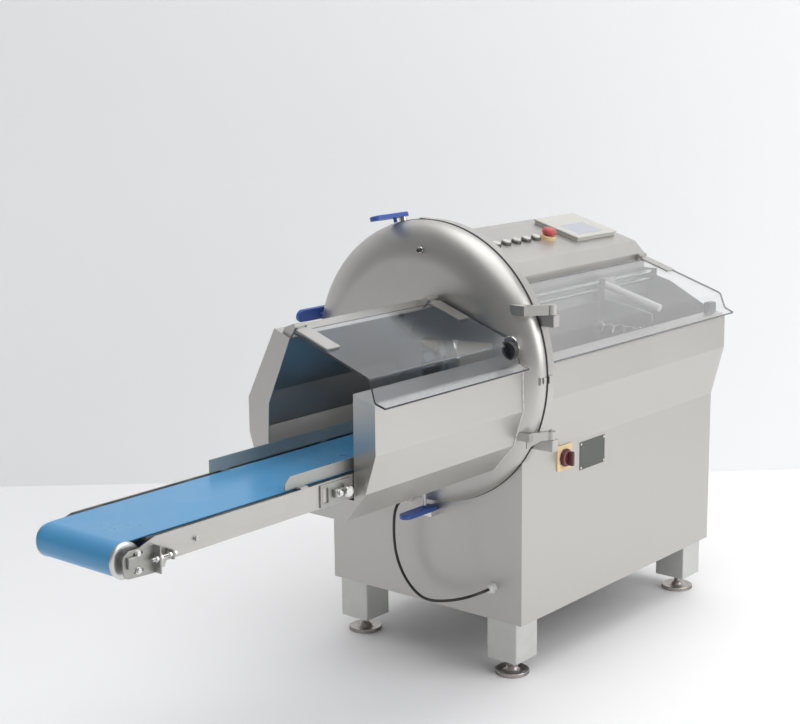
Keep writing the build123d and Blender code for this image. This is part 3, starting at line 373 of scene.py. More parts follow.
    @staticmethod
    def prism(name: str, outline: Outline, depth: float, place: Point, way: Way,
              edge: float) -> Piece:
        """A flat outline in the local XZ plane given a depth along local Y.

        Args:
            name: the piece's name.
            outline: closed outline in millimetres.
            depth: thickness in millimetres.
            place: local origin in machine millimetres.
            way: turn of the local Z axis.
            edge: edge rounding in millimetres.

        Returns:
            The piece.
        """
        piece = Bench.draw(name, outline, close=True)
        Bench.open()
        bpy.ops.mesh.extrude_region_move(TRANSFORM_OT_translate={"value": (0, depth / 1000, 0)})
        Bench.shut()
        return Bench.set_down(piece, place, way, edge)

    @staticmethod
    def cut(piece: Piece, cutter: Piece) -> None:
        """Cut one piece out of another and remove the cutter."""
        Bench.take(piece)
        boolean = piece.modifiers.new("cut", "BOOLEAN")
        boolean.operation = "DIFFERENCE"
        boolean.solver = "EXACT"
        boolean.object = cutter
        bpy.ops.object.modifier_apply(modifier=boolean.name)
        bpy.data.objects.remove(cutter)
        Bench.settle(piece)

    @staticmethod
    def scallop(piece: Piece, shape: Turning, count: int, ring: float, radius: float,
                height: float) -> None:
        """Cut a row of round hollows into a turned piece's rim.

        Args:
            piece: the turned piece.
            shape: what it was turned from.
            count: number of hollows.
            ring: radius of the circle of their centres in millimetres.
            radius: radius of each hollow.
            height: how far along the axis the hollows reach.
        """
        outline = ((0, 0), (radius, 0), (radius, height), (0, height))
        for index in range(count):
            turn = math.tau * (index + 0.5) / count
            step = shape.way.value @ Vector((ring * math.cos(turn), ring * math.sin(turn), -1.0))
            foot = tuple(a + b for a, b in zip(shape.foot, step))
            Bench.cut(piece, Bench.lathe("hollow", Turning(outline, foot, shape.way, 20)))

    @staticmethod
    def join(name: str, pieces: Sequence[Piece]) -> Piece:
        """Join several pieces into the first and name it."""
        Bench.clear()
        for piece in pieces:
            piece.select_set(True)
        bpy.context.view_layer.objects.active = pieces[0]
        bpy.ops.object.join()
        pieces[0].name = name
        return pieces[0]

    @staticmethod
    def hex_head(name: str, across: float, height: float, place: Point, way: Way) -> Piece:
        """A hexagon nut or head with softened corners.

        Args:
            name: the piece's name.
            across: width across its corners in millimetres.
            height: its height in millimetres.
            place: its foot in machine millimetres.
            way: direction out of the face.

        Returns:
            The piece.
        """
        Bench.clear()
        bpy.ops.mesh.primitive_cylinder_add(vertices=6, radius=across / 2000,
                                            depth=height / 1000,
                                            location=(0, 0, height / 2000))
        head = bpy.context.object
        head.name = name
        Bench.apply()
        return Bench.set_down(head, place, way, height * HEAD_ROUNDING)

    @staticmethod
    def hex_bolt(name: str, across: float, height: float, place: Point, way: Way) -> Piece:
        """A hexagon head on its washer, standing on a face, with hex_head's arguments."""
        flat, rim = across * WASHER_FLAT, across * WASHER_RIM
        outline = ((0, 0), (flat, 0), (rim, WASHER_CREST), (flat, WASHER_HEIGHT),
                   (0, WASHER_HEIGHT))
        washer = Bench.lathe(name, Turning(outline, place, way, 32))
        head = Bench.hex_head(name, across, height + WASHER_HEIGHT, place, way)
        return Bench.join(name, [washer, head])

    @staticmethod
    def tube(name: str, points: Sequence[Point], radius: float) -> Piece:
        """A thin round bead along a line of points.

        Args:
            name: the piece's name.
            points: its course in machine millimetres.
            radius: radius of the bead.

        Returns:
            The piece.
        """
        places = [Vector(at(*point)) for point in points]
        Bench.line(name, places[0], [there - here for here, there in zip(places, places[1:])])
        Bench.shut()
        Bench.apply()
        bpy.ops.object.convert(target="CURVE")
        curve = bpy.context.object.data
        curve.bevel_depth = radius / 1000
        curve.bevel_resolution = 2
        curve.use_fill_caps = True
        bpy.ops.object.convert(target="MESH")
        return Bench.settle(bpy.context.object, BEAD_ANGLE)


def feed(tree: Tree, node: Node, inputs: Inputs) -> None:
    """Feed a shader node.

    Args:
        tree: the tree that the node is in.
        node: the node.
        inputs: each input's name or number, with a value or another node's output.
    """
    for label, value in inputs.items():
        if isinstance(value, Socket):
            tree.links.new(value, node.inputs[label])
        else:
            node.inputs[label].default_value = value


def wire(tree: Tree, kind: str, inputs: Inputs) -> Node:
    """A new shader node of a kind, fed with its inputs."""
    node = tree.nodes.new("ShaderNode" + kind)
    feed(tree, node, inputs)
    return node


def calculate(tree: Tree, operation: str, first: Socket, second: float | Socket) -> Socket:
    """Result of one calculation with two numbers."""
    node = wire(tree, "Math", {0: first, 1: second})
    node.operation = operation
    return node.outputs[0]


def mix(tree: Tree, factor: float | Socket, first: tuple | Socket,
        second: tuple | Socket) -> Socket:
    """Colour between two colours, by a factor from the first to the second."""
    node = tree.nodes.new("ShaderNodeMix")
    node.data_type = "RGBA"
    feed(tree, node, {0: factor, 6: first, 7: second})
    return node.outputs[2]


class Effects:
    """Shader node groups that several finishes share."""

    def __init__(self) -> None:
        self.grain = self._grain()
        self.smudge = self._mask("wiping_smudges", {"Detail": 4.0, "Distortion": 0.7},
                                 (0.32, 0.68))
        self.speck = self._mask("sparse_specks", {"Detail": 5.0, "Roughness": 0.75},
                                (0.62, 0.74))

    @staticmethod
    def _open(name: str, outputs: Sequence[str]) -> tuple[Tree, ...]:
        """A new group with a Vector and a Scale going in.

        Args:
            name: the group's name.
            outputs: names of the numbers going out.

        Returns:
            The group, its input node and its output node.
        """
        group = bpy.data.node_groups.new(name, "ShaderNodeTree")
        add = group.interface.new_socket
        add(name="Vector", in_out="INPUT", socket_type="NodeSocketVector")
        add(name="Scale", in_out="INPUT", socket_type="NodeSocketFloat")
        for label in outputs:
            add(name=label, in_out="OUTPUT", socket_type="NodeSocketFloat")
        return group, group.nodes.new("NodeGroupInput"), group.nodes.new("NodeGroupOutput")

    @staticmethod
    def _grain() -> Tree:
        """Fine directional grain: a height and a light-dark mask."""
        group, entry, leave = Effects._open("directional_grain", ("Height", "Shade"))
        fine = wire(group, "TexNoise", {"Vector": entry.outputs["Vector"],
                                        "Scale": entry.outputs["Scale"],
                                        "Detail": 3.0, "Roughness": 0.6})
        wide_scale = calculate(group, "MULTIPLY", entry.outputs["Scale"], WIDE_GRAIN)
        wide = wire(group, "TexNoise", {"Vector": entry.outputs["Vector"],
                                        "Scale": wide_scale, "Detail": 2.0})
        both = calculate(group, "ADD", fine.outputs["Fac"], wide.outputs["Fac"])
        feed(group, leave, {"Height": fine.outputs["Fac"],
                            "Shade": calculate(group, "MULTIPLY", both, 0.5)})
        return group

    @staticmethod
    def _mask(name: str, noise: Inputs, span: tuple[float, float]) -> Tree:
        """Soft patches where a noise is high.

        Args:
            name: the group's name.
            noise: the noise's settings.
            span: where the patches start and where they are full.

        Returns:
            The group.
        """
        group, entry, leave = Effects._open(name, ("Mask",))
        cloud = wire(group, "TexNoise", {"Vector": entry.outputs["Vector"],
                                         "Scale": entry.outputs["Scale"], **noise})
        ramp = wire(group, "MapRange", {"Value": cloud.outputs["Fac"],
                                        "From Min": span[0], "From Max": span[1]})
        feed(group, leave, {"Mask": ramp.outputs["Result"]})
        return group


class Run(Enum):
    """How a surface's grain is stretched, as scale factors along X, Y and Z."""

    ALONG_X = (0.02, 1.0, 1.0)
    ALONG_Y = (1.0, 0.02, 1.0)
    EVEN = (1.0, 1.0, 1.0)


@dataclass(frozen=True)
class Finish:
    """One surface finish, from which a material is built once."""

    name: str
    color: Point
    shade: Point
    roughness: float
    metallic: float = 0.0
    spread: float = 0.08
    run: Run = Run.EVEN
    grain: float = 400.0
    bump: float = 0.02
    smudge: float = 3.0
    speck: Point = (0.12, 0.10, 0.08)
    speck_amount: float = 0.0
    coat: float = 0.0
    alpha: float = 1.0
    transmission: float = 0.0
    glow: float = 0.0


class Paintbox:
    """Builds each finish's material on first use and hands out the same one after that."""

    def __init__(self, effects: Effects) -> None:
        self.effects = effects
        self.made: dict[str, Material] = {}

    def material(self, finish: Finish) -> Material:
        """The material of a finish."""
        if finish.name not in self.made:
            self.made[finish.name] = self._build(finish)
        return self.made[finish.name]

    def dress(self, piece: Piece, finish: Finish) -> None:
        """Give a whole piece one finish."""
        piece.data.materials.clear()
        piece.data.materials.append(self.material(finish))

    def _build(self, finish: Finish) -> Material:
        """Node material of a finish: grain, smudges and specks over a Principled surface."""
        material = bpy.data.materials.new(finish.name)
        material.use_nodes = True
        tree = material.node_tree
        color, shade, dark = ((*c, 1.0) for c in (finish.color, finish.shade, finish.speck))
        place = tree.nodes.new("ShaderNodeTexCoord")
        stretch = wire(tree, "Mapping", {"Vector": place.outputs["Object"],
                                         "Scale": finish.run.value})
        grain = self._group(tree, self.effects.grain, stretch.outputs["Vector"], finish.grain)
        smudge = self._group(tree, self.effects.smudge, place.outputs["Object"], finish.smudge)
        speck = self._group(tree, self.effects.speck, place.outputs["Object"], SPECK_SCALE)
        tone = mix(tree, grain.outputs["Shade"], shade, color)
        patch = mix(tree, smudge.outputs["Mask"], shade, color)
        amount = calculate(tree, "MULTIPLY", speck.outputs["Mask"], finish.speck_amount)
        skin = mix(tree, amount, mix(tree, 0.5, tone, patch), dark)
        rough = wire(tree, "MapRange", {"Value": smudge.outputs["Mask"],
                                        "To Min": max(finish.roughness - finish.spread, SMOOTHEST),
                                        "To Max": min(finish.roughness + finish.spread, 1.0)})
        bump = wire(tree, "Bump", {"Strength": finish.bump, "Distance": BUMP_DISTANCE,
                                   "Height": grain.outputs["Height"]})
        surface = tree.nodes["Principled BSDF"]
        feed(tree, surface, {
            "Base Color": skin, "Metallic": finish.metallic,
            "Roughness": rough.outputs["Result"], "Normal": bump.outputs["Normal"],
            "Coat Weight": finish.coat, "Coat Roughness": COAT_ROUGHNESS,
            "Transmission Weight": finish.transmission, "Alpha": finish.alpha,
            "IOR": GLASS_IOR})
        if finish.glow > 0:
            feed(tree, surface, {"Emission Color": skin, "Emission Strength": finish.glow})
        return material

    @staticmethod
    def _group(tree: Tree, group: Tree, vector: Socket, scale: float) -> Node:
        """A shared effect placed in a material at its own scale."""
        node = tree.nodes.new("ShaderNodeGroup")
        node.node_tree = group
        feed(tree, node, {"Vector": vector, "Scale": scale})
        return node


BLASTED = Finish("blasted_stainless", (0.585, 0.570, 0.545), (0.520, 0.507, 0.485), 0.44,
                 metallic=0.82, grain=1300.0, bump=0.05, smudge=2.2)
SHEET = Finish("satin_stainless", (0.590, 0.578, 0.552), (0.500, 0.490, 0.468), 0.37,
               metallic=0.9, grain=1100.0, bump=0.04)
RAIL_STEEL = Finish("brushed_rail", (0.560, 0.550, 0.525), (0.460, 0.452, 0.432), 0.40,
                    metallic=0.88, run=Run.ALONG_X, grain=700.0, bump=0.05, smudge=5.0)
HOOD_STEEL = Finish("hood_stainless", (0.585, 0.572, 0.548), (0.505, 0.494, 0.472), 0.36,
                    metallic=0.88, grain=1200.0, bump=0.04, smudge=2.6)
GUIDE_STEEL = Finish("guide_stainless", (0.470, 0.480, 0.455), (0.390, 0.400, 0.380), 0.50,
                     metallic=0.7, run=Run.ALONG_X, grain=700.0, bump=0.05, smudge=5.0)
LEG_STEEL = Finish("leg_stainless", (0.700, 0.705, 0.680), (0.560, 0.567, 0.545), 0.46,
                   metallic=0.62, grain=900.0, bump=0.05, smudge=14.0,
                   speck=(0.75, 0.76, 0.75), speck_amount=0.35)
# Weld metal: a real bead, lighter than the sheet as painted sheen along it.
WELD_WITH_PAINTED_SHEEN = Finish("weld_bead_painted_sheen", (0.74, 0.73, 0.69), (0.50, 0.49, 0.46), 0.34,
              metallic=0.6, grain=900.0, bump=0.35, smudge=60.0)
BRIGHT = Finish("polished_steel", (0.72, 0.72, 0.71), (0.56, 0.56, 0.55), 0.18,
                metallic=1.0, spread=0.05, grain=500.0, bump=0.01, smudge=8.0)
FASTENER = Finish("bolt_steel", (0.60, 0.60, 0.58), (0.44, 0.44, 0.43), 0.30,
                  metallic=1.0, grain=900.0, bump=0.04, smudge=30.0)
ALLOY = Finish("turned_alloy", (0.70, 0.70, 0.68), (0.56, 0.56, 0.55), 0.32,
               metallic=0.95, grain=600.0, bump=0.03, smudge=9.0)
CASTING = Finish("painted_casting", (0.19, 0.21, 0.24), (0.13, 0.14, 0.17), 0.55,
                 grain=350.0, bump=0.15)
RUBBER = Finish("black_rubber", (0.016, 0.016, 0.018), (0.010, 0.010, 0.011), 0.62,
                grain=600.0, bump=0.10)
CABLE_SKIN = Finish("cable_sheath", (0.020, 0.019, 0.018), (0.012, 0.011, 0.011), 0.38,
                    grain=700.0, bump=0.05)
BLACK = Finish("black_moulding", (0.022, 0.022, 0.024), (0.014, 0.014, 0.016), 0.42,
               grain=900.0, bump=0.12, coat=0.1)
DARK_GREY = Finish("dark_grey_moulding", (0.085, 0.080, 0.078), (0.060, 0.056, 0.054), 0.40,
                   grain=900.0, bump=0.10)
BLUE = Finish("blue_moulding", (0.045, 0.115, 0.44), (0.034, 0.090, 0.36), 0.40,
              grain=900.0, bump=0.10, coat=0.15)
BELT = Finish("blue_belt", (0.070, 0.330, 0.620), (0.060, 0.295, 0.565), 0.34,
              grain=1500.0, bump=0.08, smudge=6.0, spread=0.07, coat=0.20)
WHITE = Finish("white_moulding", (0.80, 0.80, 0.78), (0.72, 0.72, 0.70), 0.40,
               grain=800.0, bump=0.05)
CREAM = Finish("cream_moulding", (0.62, 0.61, 0.57), (0.55, 0.54, 0.50), 0.45,
               grain=800.0, bump=0.05)
CAP = Finish("satin_cap", (0.74, 0.73, 0.69), (0.64, 0.63, 0.59), 0.34,
             metallic=0.3, grain=900.0, bump=0.04, smudge=40.0)
SCREEN = Finish("screen_glass", (0.400, 0.430, 0.485), (0.350, 0.385, 0.445), 0.14,
                grain=60.0, bump=0.0, coat=0.5, glow=0.08)
YELLOW = Finish("yellow_plate", (0.83, 0.64, 0.36), (0.77, 0.58, 0.30), 0.42,
                grain=700.0, bump=0.05)
RED = Finish("red_moulding", (0.58, 0.085, 0.085), (0.48, 0.065, 0.066), 0.38,
             grain=700.0, bump=0.05, coat=0.25)
DARK_RED = Finish("dark_red_moulding", (0.135, 0.030, 0.034), (0.095, 0.020, 0.024), 0.40,
                  grain=700.0, bump=0.06, coat=0.15)
# Lighter red of the knob's own red plastic: painted sheen on its shoulder ring.
RED_PAINTED_SHEEN = Finish("red_moulding_painted_sheen", (0.300, 0.130, 0.135), (0.235, 0.095, 0.10), 0.46,
                   grain=700.0, bump=0.06)
TENSION_STEEL = Finish("tension_plate_steel", (0.42, 0.42, 0.40), (0.33, 0.33, 0.315), 0.42,
                       metallic=0.85, grain=800.0, bump=0.06, smudge=20.0)
PLATE = Finish("dark_plate", (0.115, 0.124, 0.110), (0.092, 0.100, 0.088), 0.44,
               metallic=0.3, run=Run.ALONG_X, grain=500.0, bump=0.05)
FOOT = Finish("worn_foot", (0.600, 0.560, 0.530), (0.330, 0.295, 0.275), 0.28,
              metallic=0.85, grain=160.0, bump=0.20, speck=(0.38, 0.25, 0.17), speck_amount=0.6)
BLADE = Finish("ground_blade", (0.70, 0.70, 0.70), (0.56, 0.56, 0.56), 0.20,
               metallic=1.0, run=Run.ALONG_Y, grain=600.0, bump=0.04)
CLEAR = Finish("clear_sheet", (0.72, 0.72, 0.73), (0.66, 0.66, 0.67), 0.05,
               spread=0.02, grain=30.0, bump=0.0, alpha=0.25, coat=0.6)
# Dark grey on the clear sheet's cut edges: painted shade, the sheet itself is clear.
CLEAR_EDGE_PAINTED_SHADE = Finish("clear_sheet_edge_painted_shade", (0.12, 0.13, 0.135), (0.085, 0.09, 0.095), 0.20,
                    grain=300.0, bump=0.02, alpha=0.9)
SMOKED = Finish("smoked_sheet", (0.93, 0.95, 0.98), (0.90, 0.92, 0.96), 0.03,
                spread=0.02, grain=30.0, bump=0.0, transmission=1.0)
# Near black on the tinted sheet's cut edges: painted shade.
SMOKED_EDGE_PAINTED_SHADE = Finish("smoked_sheet_edge_painted_shade", (0.030, 0.036, 0.048), (0.020, 0.025, 0.034), 0.22,
                     grain=300.0, bump=0.02)
# Dark steel on the button bezels: painted shade on their sides.
BEZEL_STEEL_PAINTED_SHADE = Finish("steel_painted_shade", (0.20, 0.195, 0.185), (0.13, 0.125, 0.12), 0.36,
                    metallic=0.8, grain=800.0, bump=0.04, smudge=30.0)

NODE_FINISH: dict[str, Finish] = {
    "cabinet_shell": BLASTED, "roof_console": BLASTED, "base_frame": RAIL_STEEL,
    "leg_posts": LEG_STEEL, "levelling_feet": FOOT, "drum_housing": SHEET,
    "door_gasket": RUBBER, "shear_frame": WHITE, "bearing_housing": CASTING,
    "shaft_bearings": BRIGHT, "drive_motor": CASTING, "motor_bracket": RAIL_STEEL,
    "drive_belt": RUBBER, "feed_trough": RAIL_STEEL, "guide_rods": BRIGHT,
    "hinge_brackets": SHEET, "clamp_posts": BRIGHT, "infeed_hinge_lugs": SHEET,
    "safety_switches": BLACK, "main_switch_plate": YELLOW, "cable_glands": WHITE,
    "conveyor_cable": CABLE_SKIN, "button_bezels": BEZEL_STEEL_PAINTED_SHADE, "estop_base": YELLOW,
    "hmi_housing": CREAM, "hmi_screen": SCREEN, "blade_shaft": BRIGHT,
    "sickle_blade": BLADE, "blade_hub": BRIGHT, "shaft_pulley": ALLOY,
    "motor_pulley": ALLOY, "outfeed_door": SHEET, "hinge_arms": SHEET,
    "outfeed_hood": HOOD_STEEL, "hood_hinge_lugs": SHEET, "conveyor_frame": RAIL_STEEL,
    "guide_plates": GUIDE_STEEL, "conveyor_belt": BELT, "conveyor_fittings": FASTENER,
    "hood_lid": SMOKED, "hood_lid_straps": SHEET, "hood_lid_knob": BLACK,
    "nose_roller": ALLOY, "drive_roller": BRIGHT, "infeed_lid": CLEAR,
    "infeed_lid_straps": SHEET, "gripper_carriage": SHEET, "gripper_bar": WHITE,
    "gripper_claws": BRIGHT, "estop_head": RED, "main_switch_knob": DARK_RED,
    "clamp_handle_top": BLUE, "clamp_handle_back": BLUE, "clamp_handle_bottom": BLUE,
    **{f"push_button_{index}": CAP for index in range(1, 6)},
}


@dataclass
class Shop:
    """What every sub-assembly needs to finish a piece."""

    paint: Paintbox

    def fit(self, piece: Piece, finish: Finish, body: str, slot: str, replaces: str = "") -> None:
        """Dress a piece, let it ride on a body and hide the node that it stands for.

        Args:
            piece: the finished mesh.
            finish: its surface.
            body: the body it moves with.
            slot: the record's material slot; not used.
            replaces: a node that it stands for, if any.
        """
        self.paint.dress(piece, finish)
        if replaces:
            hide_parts(replaces)
        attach(piece, body)
        LOG.info("%s rides on %s", piece.name, body)


@dataclass
class Drum(Shop):
    """Dished door, its gasket, and the small catches on the rim."""

    radius: float = 385.0
    face_x: float = -68.0
    edge_x: float = -5.0
    flat_radius: float = 280.0
    gauge: float = 4.0
    lip_radius: float = 372.0
    dish_steps: int = 20
    steps: int = 160
    port: Box = Box((-78, -262, 702), (-38, -25, 935), 10.0)
    striker: Turning = Turning(((0, 0), (5.5, 0), (6.5, 1), (6.5, 42), (0, 42)),
                               (-46, -14, 459), Way.Z, 32)
    plug_collar: Turning = Turning(((0, 0), (9, 0), (8, 1.5), (0, 1.5)),
                                   (-67.8, -25, 1163), Way.MINUS_X, 40)
    plug: Turning = Turning(((0, 0), (5.5, 0), (5.5, 7), (4.5, 9), (0, 9.5)),
                            (-69, -25, 1163), Way.MINUS_X, 32)
    gasket: Outline = ((376, 0.1), (385.2, 0.1), (385.2, -1.4), (386.3, -1.4), (386.3, 4.4),
                       (385.2, 4.4), (385.2, 2.9), (376, 2.9), (376, 0.1))
    hood_foot: Outline = (
        (60.0, 857.0), (60.0, 771.0), (28.0, 675.0), (-34.0, 599.0), (-253.0, 599.0),
        (-315.0, 675.0), (-347.0, 771.0), (-347.0, 889.0))
    weld_step: float = 12.0
    weld_sunk: float = 0.5
    weld_radius: float = 3.0
    rim_switch: Box = Box((3.4, -391, 838), (20, -384.6, 859), 1.2)
    rim_actuator: Box = Box((-17, -388.5, 840), (-6, -382, 857), 1.2)
    actuator_stop: Box = Box((-28, -386, 838), (-24, -377, 858), 1.0)
    top_catch: Box = Box((4.5, 13, 1233.5), (22, 37, 1238), 1.6)

    def build(self) -> None:
        """Make every piece of the drum."""
        self.make_door()
        self.make_gasket()
        self.make_hood_weld()
        self.make_catches()

    def dish(self, inset: float) -> Outline:
        """Points of the dish's edge from rim to face, moved inwards by an inset."""
        deep = self.edge_x - self.face_x - inset
        wide = self.radius - inset - self.flat_radius
        turns = [math.radians(90.0 * i / self.dish_steps) for i in range(self.dish_steps + 1)]
        return [(self.flat_radius + wide * math.cos(t), -self.edge_x + deep * math.sin(t))
                for t in turns]

    def surface_x(self, y: float, z: float) -> float:
        """X of the door's outside at a point."""
        reach = math.hypot(y, z - DRUM_Z) - self.flat_radius
        if reach <= 0:
            return self.face_x
        share = min(reach / (self.radius - self.flat_radius), 1.0)
        return self.edge_x - (self.edge_x - self.face_x) * math.sqrt(1.0 - share * share)

    def make_door(self) -> None:
        """Dished door, turned, with its port cut out, and the plug in its face."""
        outline = [(0, -self.face_x), *self.dish(0.0)[::-1], (self.radius, 0),
                   (self.lip_radius, 0), (self.lip_radius, self.gauge), *self.dish(self.gauge),
                   (0, -self.face_x - self.gauge)]
        door = Bench.lathe("door_dish", Turning(outline, (0, 0, DRUM_Z), Way.MINUS_X, self.steps))
        Bench.cut(door, Bench.block("door_port", self.port))
        door = Bench.join("door_dish", [door, Bench.lathe("door_striker", self.striker)])
        self.fit(door, SHEET, "door", "brushed_steel", "outfeed_door")
        collar = Bench.lathe("door_plug_collar", self.plug_collar)
        self.fit(collar, BRIGHT, "door", "bright_steel")
        self.fit(Bench.lathe("door_plug", self.plug), BLACK, "door", "black_plastic")

    def make_gasket(self) -> None:
        """Rubber ring between drum and door."""
        shape = Turning(self.gasket, (0, 0, DRUM_Z), Way.X, self.steps)
        self.fit(Bench.lathe("gasket_ring", shape), RUBBER, "cabinet", "black_rubber",
                 "door_gasket")

    def make_hood_weld(self) -> None:
        """Weld bead where the hood meets the dished door, lighter than the sheet as painted sheen.
        """
        points: list[Point] = []
        for (y0, z0), (y1, z1) in zip(self.hood_foot, self.hood_foot[1:]):
            count = max(int(math.hypot(y1 - y0, z1 - z0) / self.weld_step), 1)
            for step in range(count):
                y, z = y0 + (y1 - y0) * step / count, z0 + (z1 - z0) * step / count
                points.append((self.surface_x(y, z) - self.weld_sunk, y, z))
        bead = Bench.tube("hood_weld", points, self.weld_radius)
        self.fit(bead, WELD_WITH_PAINTED_SHEEN, "door", "brushed_steel")

    def make_catches(self) -> None:
        """Small steel catches across the gap, at the operator's side and on top."""
        fixed = Bench.block("rim_switch", self.rim_switch)
        self.fit(fixed, SHEET, "cabinet", "brushed_steel", "safety_switches")
        moving = Bench.join("rim_actuator", [Bench.block("rim_actuator", self.rim_actuator),
                                             Bench.block("stop", self.actuator_stop)])
        self.fit(moving, SHEET, "door", "brushed_steel")
        top = Bench.block("rim_top_catch", self.top_catch)
        self.fit(top, SHEET, "cabinet", "brushed_steel")


@dataclass
class Tensioner(Shop):
    """Belt tensioner of one side of the conveyor's nose.

    The boxes with an "out" count their Y outwards from the side plate's face.
    """

    side: int = -1
    near_face: float = -277.0
    far_face: float = -7.0
    corners: Outline = ((-1319, 650), (-1236, 645), (-1236, 707), (-1303, 707), (-1319, 696))
    corner_radii: tuple[float, ...] = (16.0, 3.0, 3.0, 8.0, 8.0)
    gauge: float = 3.0
    plate_edge: float = 0.6
    bolt_x: float = -1280.0
    bolt_z: tuple[float, float] = (661.0, 697.0)
    bolt_size: tuple[float, float] = (12.0, 4.0)
    slot_out: Box = Box((-1293, -2, -3.5), (-1267, 5, 3.5), 2.5)
    block_out: Box = Box((-1310, 2.8, 671), (-1284, 10, 695), 2.0)
    flange_out: Box = Box((-1238, 0, 646), (-1234, 22, 706), 1.2)
    lug_out: Box = Box((-1203, 0, 667), (-1197, 22, 689), 2.5)
    screw_place: Point = (-1254.0, 15.0, 678.0)
    screw_size: tuple[float, float] = (4.0, 66.0)
    nut_x: tuple[float, ...] = (-1234.0, -1245.5, -1210.0, -1197.0)
    nut_size: tuple[float, float] = (15.0, 6.5)

    def out(self, distance: float) -> float:
        """Y at a distance out of the side plate's face."""
        return (self.near_face if self.side < 0 else self.far_face) + self.side * distance

    def slab(self, name: str, box: Box, up: float = 0.0) -> Piece:
        """A block from a box that counts outwards, raised by a height."""
        near, far = sorted((self.out(box.low[1]), self.out(box.high[1])))
        return Bench.block(name, Box((box.low[0], near, box.low[2] + up),
                                     (box.high[0], far, box.high[2] + up), box.edge))

    def build(self) -> None:
        """Make the slotted plate, its fasteners and the tension screw."""
        near_side = self.side < 0
        tag = "near" if near_side else "far"
        place = (0, min(self.out(0), self.out(self.gauge)), 0)
        plate = Bench.prism(f"{tag}_tension_plate", rounded(self.corners, self.corner_radii),
                            self.gauge, place, Way.Z, self.plate_edge)
        for z in self.bolt_z:
            Bench.cut(plate, self.slab("slot", self.slot_out, z))
        plates = Bench.join(f"{tag}_tension_plate", [
            plate, self.slab("axle_block", self.block_out), self.slab("flange", self.flange_out),
            self.slab("lug", self.lug_out)])
        self.fit(plates, TENSION_STEEL, "door", "bright_steel",
                 "conveyor_fittings" if near_side else "")
        way = Way.MINUS_Y if near_side else Way.Y
        metal = [Bench.hex_bolt("bolt", *self.bolt_size, (self.bolt_x, self.out(self.gauge), z),
                                way) for z in self.bolt_z]
        x, distance, z = self.screw_place
        foot = (x, self.out(distance), z)
        metal.append(Bench.lathe("screw", Turning(threaded(*self.screw_size), foot, Way.X, 24)))
        metal += [Bench.hex_head("nut", *self.nut_size, (x, *foot[1:]), Way.X)
                  for x in self.nut_x]
        screws = Bench.join(f"{tag}_tension_screw", metal)
        self.fit(screws, BRIGHT, "door", "bright_steel")


@dataclass
class Outfeed(Shop):
    """Nose roller, thumb clamp and knob of the outfeed side."""

    roller: Turning = Turning((
        (0, -8), (7.6, -8), (7.6, 14), (30, 14), (37, 15), (39, 16.5), (39, 18.5), (37, 19),
        (35, 19), (35, 251), (37, 251), (39, 251.5), (39, 253.5), (37, 255), (30, 256),
        (7.6, 256), (7.6, 278), (0, 278)), (-1298, -277, 683), Way.Y)
    rail_bolt: Point = (-1120, -277, 688)
    rail_bolt_size: tuple[float, float] = (13.0, 5.5)
    clamp_plate: Box = Box((-742, -281, 664), (-640, -277, 716), 0.8)
    clamp_slot: Box = Box((-733, -284, 672), (-716, -274, 708), 2.0)
    clamp_saddle: Box = Box((-702, -291, 680), (-676, -280.8, 700), 2.5)
    clamp_knob: Turning = Turning((
        (0, 0), (7, 0), (7, 7), (13, 8), (15, 10), (15, 17), (12, 20), (5, 21), (0, 21)),
        (-664, -281, 690), Way.MINUS_Y, 48)
    clamp_nut: Point = (-689, -291, 690)
    clamp_nut_size: tuple[float, float] = (14.0, 6.0)
    knob: Turning = Turning((
        (0, 0), (19, 0), (22, 1), (24, 3.5), (24, 14), (21, 18.5), (16, 20), (7, 20.5), (0, 19)),
        (-86, -337, 935), Way.MINUS_X, 64)
    knob_ring: Turning = Turning(((0, 0), (22, 0), (24, 2), (24, 7), (21, 9), (0, 9)),
                                 (-89, -333, 946), Way.X, 64)

    def build(self) -> None:
        """Make every piece of the outfeed side."""
        self.fit(Bench.lathe("nose_roller_turned", self.roller), ALLOY, "nose_roll", "aluminium",
                 "nose_roller")
        bolt = Bench.hex_bolt("rail_bolt", *self.rail_bolt_size, self.rail_bolt, Way.MINUS_Y)
        self.fit(bolt, FASTENER, "door", "bright_steel")
        self.make_thumb_clamp()
        knob = Bench.lathe("lid_knob_turned", self.knob)
        ring = Bench.lathe("lid_knob_ring", self.knob_ring)
        self.fit(knob, BLACK, "hood_cover", "black_plastic", "hood_lid_knob")
        self.fit(ring, BRIGHT, "hood_cover", "bright_steel")

    def make_thumb_clamp(self) -> None:
        """Slotted clamp plate with its star knob, beside the hood."""
        plate = Bench.block("clamp_plate", self.clamp_plate)
        Bench.cut(plate, Bench.block("slot", self.clamp_slot))
        plate = Bench.join("clamp_plate", [plate, Bench.block("saddle", self.clamp_saddle)])
        self.fit(plate, TENSION_STEEL, "door", "brushed_steel")
        knob = Bench.lathe("clamp_knob", self.clamp_knob)
        Bench.scallop(knob, self.clamp_knob, count=5, ring=16.0, radius=4.5, height=24.0)
        nut = Bench.hex_bolt("nut", *self.clamp_nut_size, self.clamp_nut, Way.MINUS_Y)
        knob = Bench.join("clamp_knob", [knob, nut])
        self.fit(knob, BRIGHT, "door", "bright_steel")


